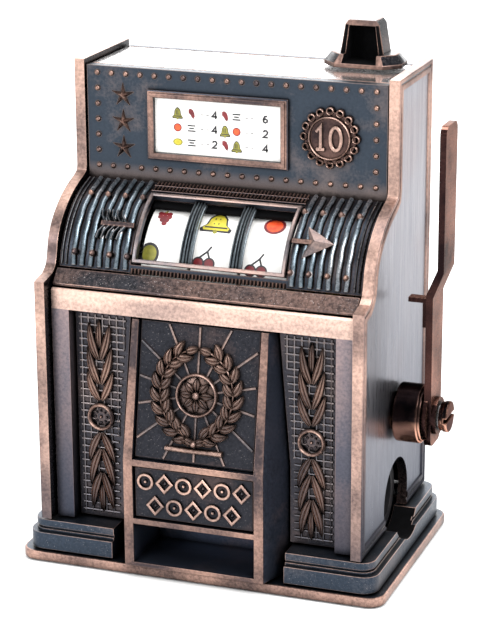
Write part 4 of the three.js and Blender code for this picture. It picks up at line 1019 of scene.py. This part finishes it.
# across the card: two signs, the equals sign and the number, twice
CARD_COLUMNS = [(-9.4, -7.1, -4.9, -3.3), (-1.6, 0.3, 2.4, 5.0)]
NUMERALS = {
    4: [(0.2, -0.55), (0.2, 0.55), (-0.38, -0.2), (0.42, -0.2)],
    2: [(-0.34, 0.3), (-0.18, 0.52), (0.16, 0.52), (0.34, 0.3), (0.26, 0.02), (-0.36, -0.52), (0.38, -0.52)],
    6: [(0.26, 0.5), (-0.1, 0.42), (-0.34, 0.0), (-0.3, -0.38), (0.0, -0.54), (0.3, -0.36), (0.3, -0.1),
        (0.0, 0.06), (-0.3, -0.1)],
}
BELL_SHAPE = [(-0.55, -0.62), (0.55, -0.62), (0.6, -0.45), (0.4, -0.2), (0.33, 0.25), (0.18, 0.5),
              (0.0, 0.6), (-0.18, 0.5), (-0.33, 0.25), (-0.4, -0.2), (-0.6, -0.45)]
PLUM_SHAPE = [(-0.35, 0.5), (-0.1, 0.62), (0.2, 0.45), (0.36, 0.1), (0.42, -0.3), (0.28, -0.62),
              (0.05, -0.45), (-0.12, -0.15), (-0.36, 0.1)]


class Print(Relief):
    """Flat print on paper, kept within limit of the middle of the strip."""

    def __init__(self, place, limit=None):
        super().__init__(place)
        self.limit = limit

    def blob(self, ink, outline, layer=0):
        """A filled shape; a higher layer is printed over a lower one."""
        self.use(ink)
        if self.limit:
            outline = [(min(max(u, -self.limit), self.limit), v) for u, v in outline]
        height = INK_HEIGHT + LAYER_STEP * layer
        middle = [sum(point[axis] for point in outline) / len(outline) for axis in (0, 1)]
        loops = [[(u, v, -INK_SINK) for u, v in outline]]
        for share in (1.0, 0.7, 0.4):
            loops.append([(middle[0] + share * (u - middle[0]), middle[1] + share * (v - middle[1]), height)
                          for u, v in outline])
        self.stack(loops, apex=(*middle, height))

    def line(self, path, half_width, ink=BLACK_INK):
        self.use(ink)
        height = INK_HEIGHT + 3 * LAYER_STEP
        self.sweep(path, [(-half_width, -INK_SINK), (-half_width, height), (half_width, height),
                          (half_width, -INK_SINK)])

    def bell(self, u, v, size, wide, body_ink):
        across = wide * size
        for ink, share, layer in ((BLACK_INK, 1.2, 0), (body_ink, 1.0, 1)):
            self.blob(ink, [(u + a * across * share, v + b * size * share) for a, b in BELL_SHAPE], layer)
        self.line([(u - 0.5 * across, v - 0.42 * size), (u + 0.5 * across, v - 0.42 * size)], 0.05 * size)
        for share in (-0.14, 0.06):
            x = u + share * across
            self.line([(x, v - 0.2 * size), (x, v + 0.3 * size)], 0.035 * size)
        self.blob(OLIVE_INK, circle(u, v - 0.72 * size, 0.14 * size, 10), 2)

    def plum(self, u, v, size):
        self.blob(RED_INK, [(u + a * size, v + b * size) for a, b in PLUM_SHAPE])

    def fruit(self, u, v, radius, ink, rim, tall=1.0):
        self.blob(rim, circle(u, v, radius, 20, tall))
        self.blob(ink, circle(u, v, 0.76 * radius, 20, tall), 1)

    def bars(self, u, v, size):
        for row in (-0.32, 0.0, 0.32):
            reach = 0.5 if row else 0.3
            self.line([(u - reach * size, v + row * size), (u + reach * size, v + row * size)], 0.08 * size)

    def grapes(self, u, v, size):
        for row, count in enumerate((3, 3, 2, 1)):
            for k in range(count):
                across = (k - (count - 1) / 2) * 0.42 + 0.06 * row
                self.blob(RED_INK, circle(u + across * size, v + (0.42 - 0.36 * row) * size, 0.25 * size, 10),
                          (row + k) % 2)
        self.line([(u, v + 0.5 * size), (u + 0.12 * size, v + 0.85 * size)], 0.06 * size, OLIVE_INK)

    def cherries(self, u, v, size):
        for across in (-0.42, 0.42):
            self.fruit(u + across * size, v - 0.35 * size, 0.46 * size, RED_INK, BLACK_INK)
            self.line([(u + across * size, v), (u + 0.2 * size, v + 0.55 * size),
                       (u + 0.45 * size, v + 0.95 * size)], 0.07 * size)


def award_card():
    """Three rows of two groups: two signs, an equals sign and a number."""
    card = Print(standing_at(AWARD_FRONT + 0.07))
    card.slab(*card_sides(0), -0.23, 0.0)
    bell = (card.bell, 1.25, 1.0, OLIVE_INK)
    plum = (card.plum, 1.3)
    orange = (card.fruit, 0.66, ORANGE_INK, RED_INK)
    lemon = (card.fruit, 0.8, YELLOW_INK, OLIVE_INK, 0.72)
    bars = (card.bars, 1.3)
    rows = [(69.8, (bell, plum, 4), (plum, bars, 6)),
            (67.5, (orange, bars, 4), (bell, orange, 2)),
            (65.2, (lemon, bars, 2), (plum, bell, 4))]
    for z, *groups in rows:
        for columns, (*signs, number) in zip(CARD_COLUMNS, groups):
            for x, (draw, *sizes) in zip(columns, signs):
                draw(x, z, *sizes)
            for x in (columns[2] - 0.45, columns[2] + 0.45):
                card.line([(x - 0.22, z - 0.05), (x + 0.22, z - 0.05)], 0.05)
            card.line([(columns[3] + a, z + b) for a, b in NUMERALS[number]], 0.13)
    card.show("award_card", INKS, "white_card")


award_card()


# ---------------------------------------------------------------- reel strips
def reel_strip(number, first_angle, step, offsets, order, body):
    """Paper strip round a reel. Its signs lie step degrees apart, offsets takes turns in moving them
    sideways, and order numbers them: grapes, olive plum, bell, orange, cherries."""
    centre = REEL_PITCH * (number - 2)
    band_radius = REEL_RADIUS - 0.05

    def around(u, run, height):
        angle = -run / band_radius
        radius = band_radius + height
        return at(centre + u, REEL_Y + radius * cos(angle), REEL_Z + radius * sin(angle))

    half = REEL_WIDTH / 2
    strip = Print(around, limit=half - 0.02)
    turns = [2 * pi * band_radius * k / 72 for k in range(72)]
    corners = [(-half, 0.0), (half, 0.0), (half, -0.14), (-half, -0.14)]
    strip.stack([[(u, run, height) for run in turns] for u, height in corners], ring=True)
    signs = [(strip.grapes, 1.75), (strip.fruit, 1.6, OLIVE_INK, BLACK_INK, 1.1),
             (strip.bell, 2.6, 1.4, YELLOW_INK), (strip.fruit, 1.75, ORANGE_INK, RED_INK, 0.9),
             (strip.cherries, 2.1)]
    for k in range(round(360 / step)):
        draw, *sizes = signs[order[k % 5]]
        draw(offsets[k % 2], -radians(first_angle + step * k) * band_radius, *sizes)
    strip.show(f"reel_strip_{number}", INKS, "white_card", body)


reel_strip(1, 122.5, 32.73, (-1.7, -2.6), (0, 1, 2, 3, 4), "reel_one")
reel_strip(2, 122.4, 32.73, (-0.9, -1.7), (2, 4, 3, 1, 0), "reel_two")
reel_strip(3, 121.1, 36.0, (0.15, -1.3), (3, 4, 0, 2, 1), "reel_three")

# ---------------------------------------------------------------- lids, coin head, lever and screws
HEAD_X = 16.9
MOUTH_HALF_WIDTH = 2.8
MOUTH_Y = (26.5, 31.6)
MOUTH_Z = (77.3, 83.05)


def head_material(middle, normal):
    """Painted shade: black inside the mouth; copper on the front round it."""
    if (abs(middle.x - HEAD_X) < MOUTH_HALF_WIDTH and MOUTH_Y[0] < middle.y < MOUTH_Y[1]
            and MOUTH_Z[0] < middle.z < MOUTH_Z[1]):
        return 2
    return 1 if normal.y < -0.6 else 0


softened("top_panel", 0.22, [TOP, RUBBED],
         pick=lambda middle, normal: 1 if normal.y < -0.5 else 0)
softened("back_cover", 0.2, [MOULDING, HALF_RUBBED])
softened("coin_head", 0.34, [HEAD, HALF_RUBBED, SHADE_BLACK], pick=head_material, above=35, segments=3)
softened("lever_boss", 0.3, [BOSS, BOSS], segments=3)
# the lever arm's front face takes the darker copy of the brown copper: painted shade
softened("lever_arm", 0.36, [BROWN, BROWN, SHADED_BROWN], "lever", segments=3,
         pick=lambda middle, normal: 2 if normal.y < -0.7 else 0)
softened("axle_screw", 0.25, [BOSS, BOSS], "lever", segments=3)
for screw in range(1, 5):
    softened(f"base_screw_{screw}", 0.1, [STEEL, STEEL])
softened("sharpener_body", 0.2, [BLACK_PLASTIC, BLACK_PLASTIC], above=40)
softened("sharpener_blade", 0.1, [STEEL, STEEL])
softened("blade_screw", 0.1, [BRASS, BRASS])

# the works inside stay as the CAD made them, with a real finish
WORKS = [
    (STEEL, ["bracket_left", "bracket_right", "return_spring", "lever_axle", "reel_shaft"]),
    (BRASS, ["drive_sector", "pinion", "reel_spacer_left", "reel_spacer_right"]),
    (WHITE_PLASTIC, ["reel_1", "reel_2", "reel_3"]),
]
for finish, nodes in WORKS:
    for inner_node in nodes:
        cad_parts[inner_node].data.materials.clear()
        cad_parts[inner_node].data.materials.append(finish)

# ---------------------------------------------------------------- studio
FLOOR_HALF = 3.0
FLOOR_DROP = 0.0002


def studio():
    """A pale floor under even white light."""
    mesh = bmesh.new()
    mesh.faces.new([mesh.verts.new((a * FLOOR_HALF, b * FLOOR_HALF, -FLOOR_DROP))
                    for a, b in ((-1, -1), (1, -1), (1, 1), (-1, 1))])
    floor = placed("floor", mesh)
    paper = Surface("floor_paper", 0.0, 0.9)
    paper.set("Base Color", (0.93, 0.93, 0.93, 1))
    floor.data.materials.append(paper.material)

    world = bpy.data.worlds.new("studio")
    world.use_nodes = True
    sky = world.node_tree.nodes["Background"].inputs
    sky["Color"].default_value = (1, 1, 1, 1)
    sky["Strength"].default_value = 0.95
    bpy.context.scene.world = world


def soft_light(name, place, aim_height, width, height, power):
    """A soft rectangle of light at a place, turned to a point above the middle of the floor."""
    data = bpy.data.lights.new(name, "AREA")
    data.shape = "RECTANGLE"
    data.size = width
    data.size_y = height
    data.energy = power
    light = bpy.data.objects.new(name, data)
    light.location = place
    light.rotation_euler = (Vector((0, 0, aim_height)) - Vector(place)).to_track_quat("-Z", "Y").to_euler()
    bpy.context.scene.collection.objects.link(light)


def camera():
    data = bpy.data.cameras.new("camera")
    data.sensor_fit = "VERTICAL"
    data.sensor_height = 36
    data.lens = 127.68
    data.shift_x = -0.0624
    data.shift_y = -0.0049
    eye = bpy.data.objects.new("camera", data)
    eye.location = (0.119086, -0.319230, 0.145853)
    eye.rotation_euler = (radians(90 - 17.63), 0, radians(19.24))
    bpy.context.scene.collection.objects.link(eye)
    bpy.context.scene.camera = eye


studio()
soft_light("key", (0.42, -0.2, 0.42), 0.04, 0.22, 0.22, 2.4)
soft_light("front", (-0.3, -0.5, 0.3), 0.04, 0.2, 0.2, 1.6)
soft_light("overhead", (0.0, 0.05, 0.6), 0.04, 0.4, 0.4, 2.4)
soft_light("behind", (-0.2, 0.6, 0.28), 0.07, 0.7, 0.4, 3.0)
camera()
bpy.context.scene.view_settings.view_transform = "Standard"
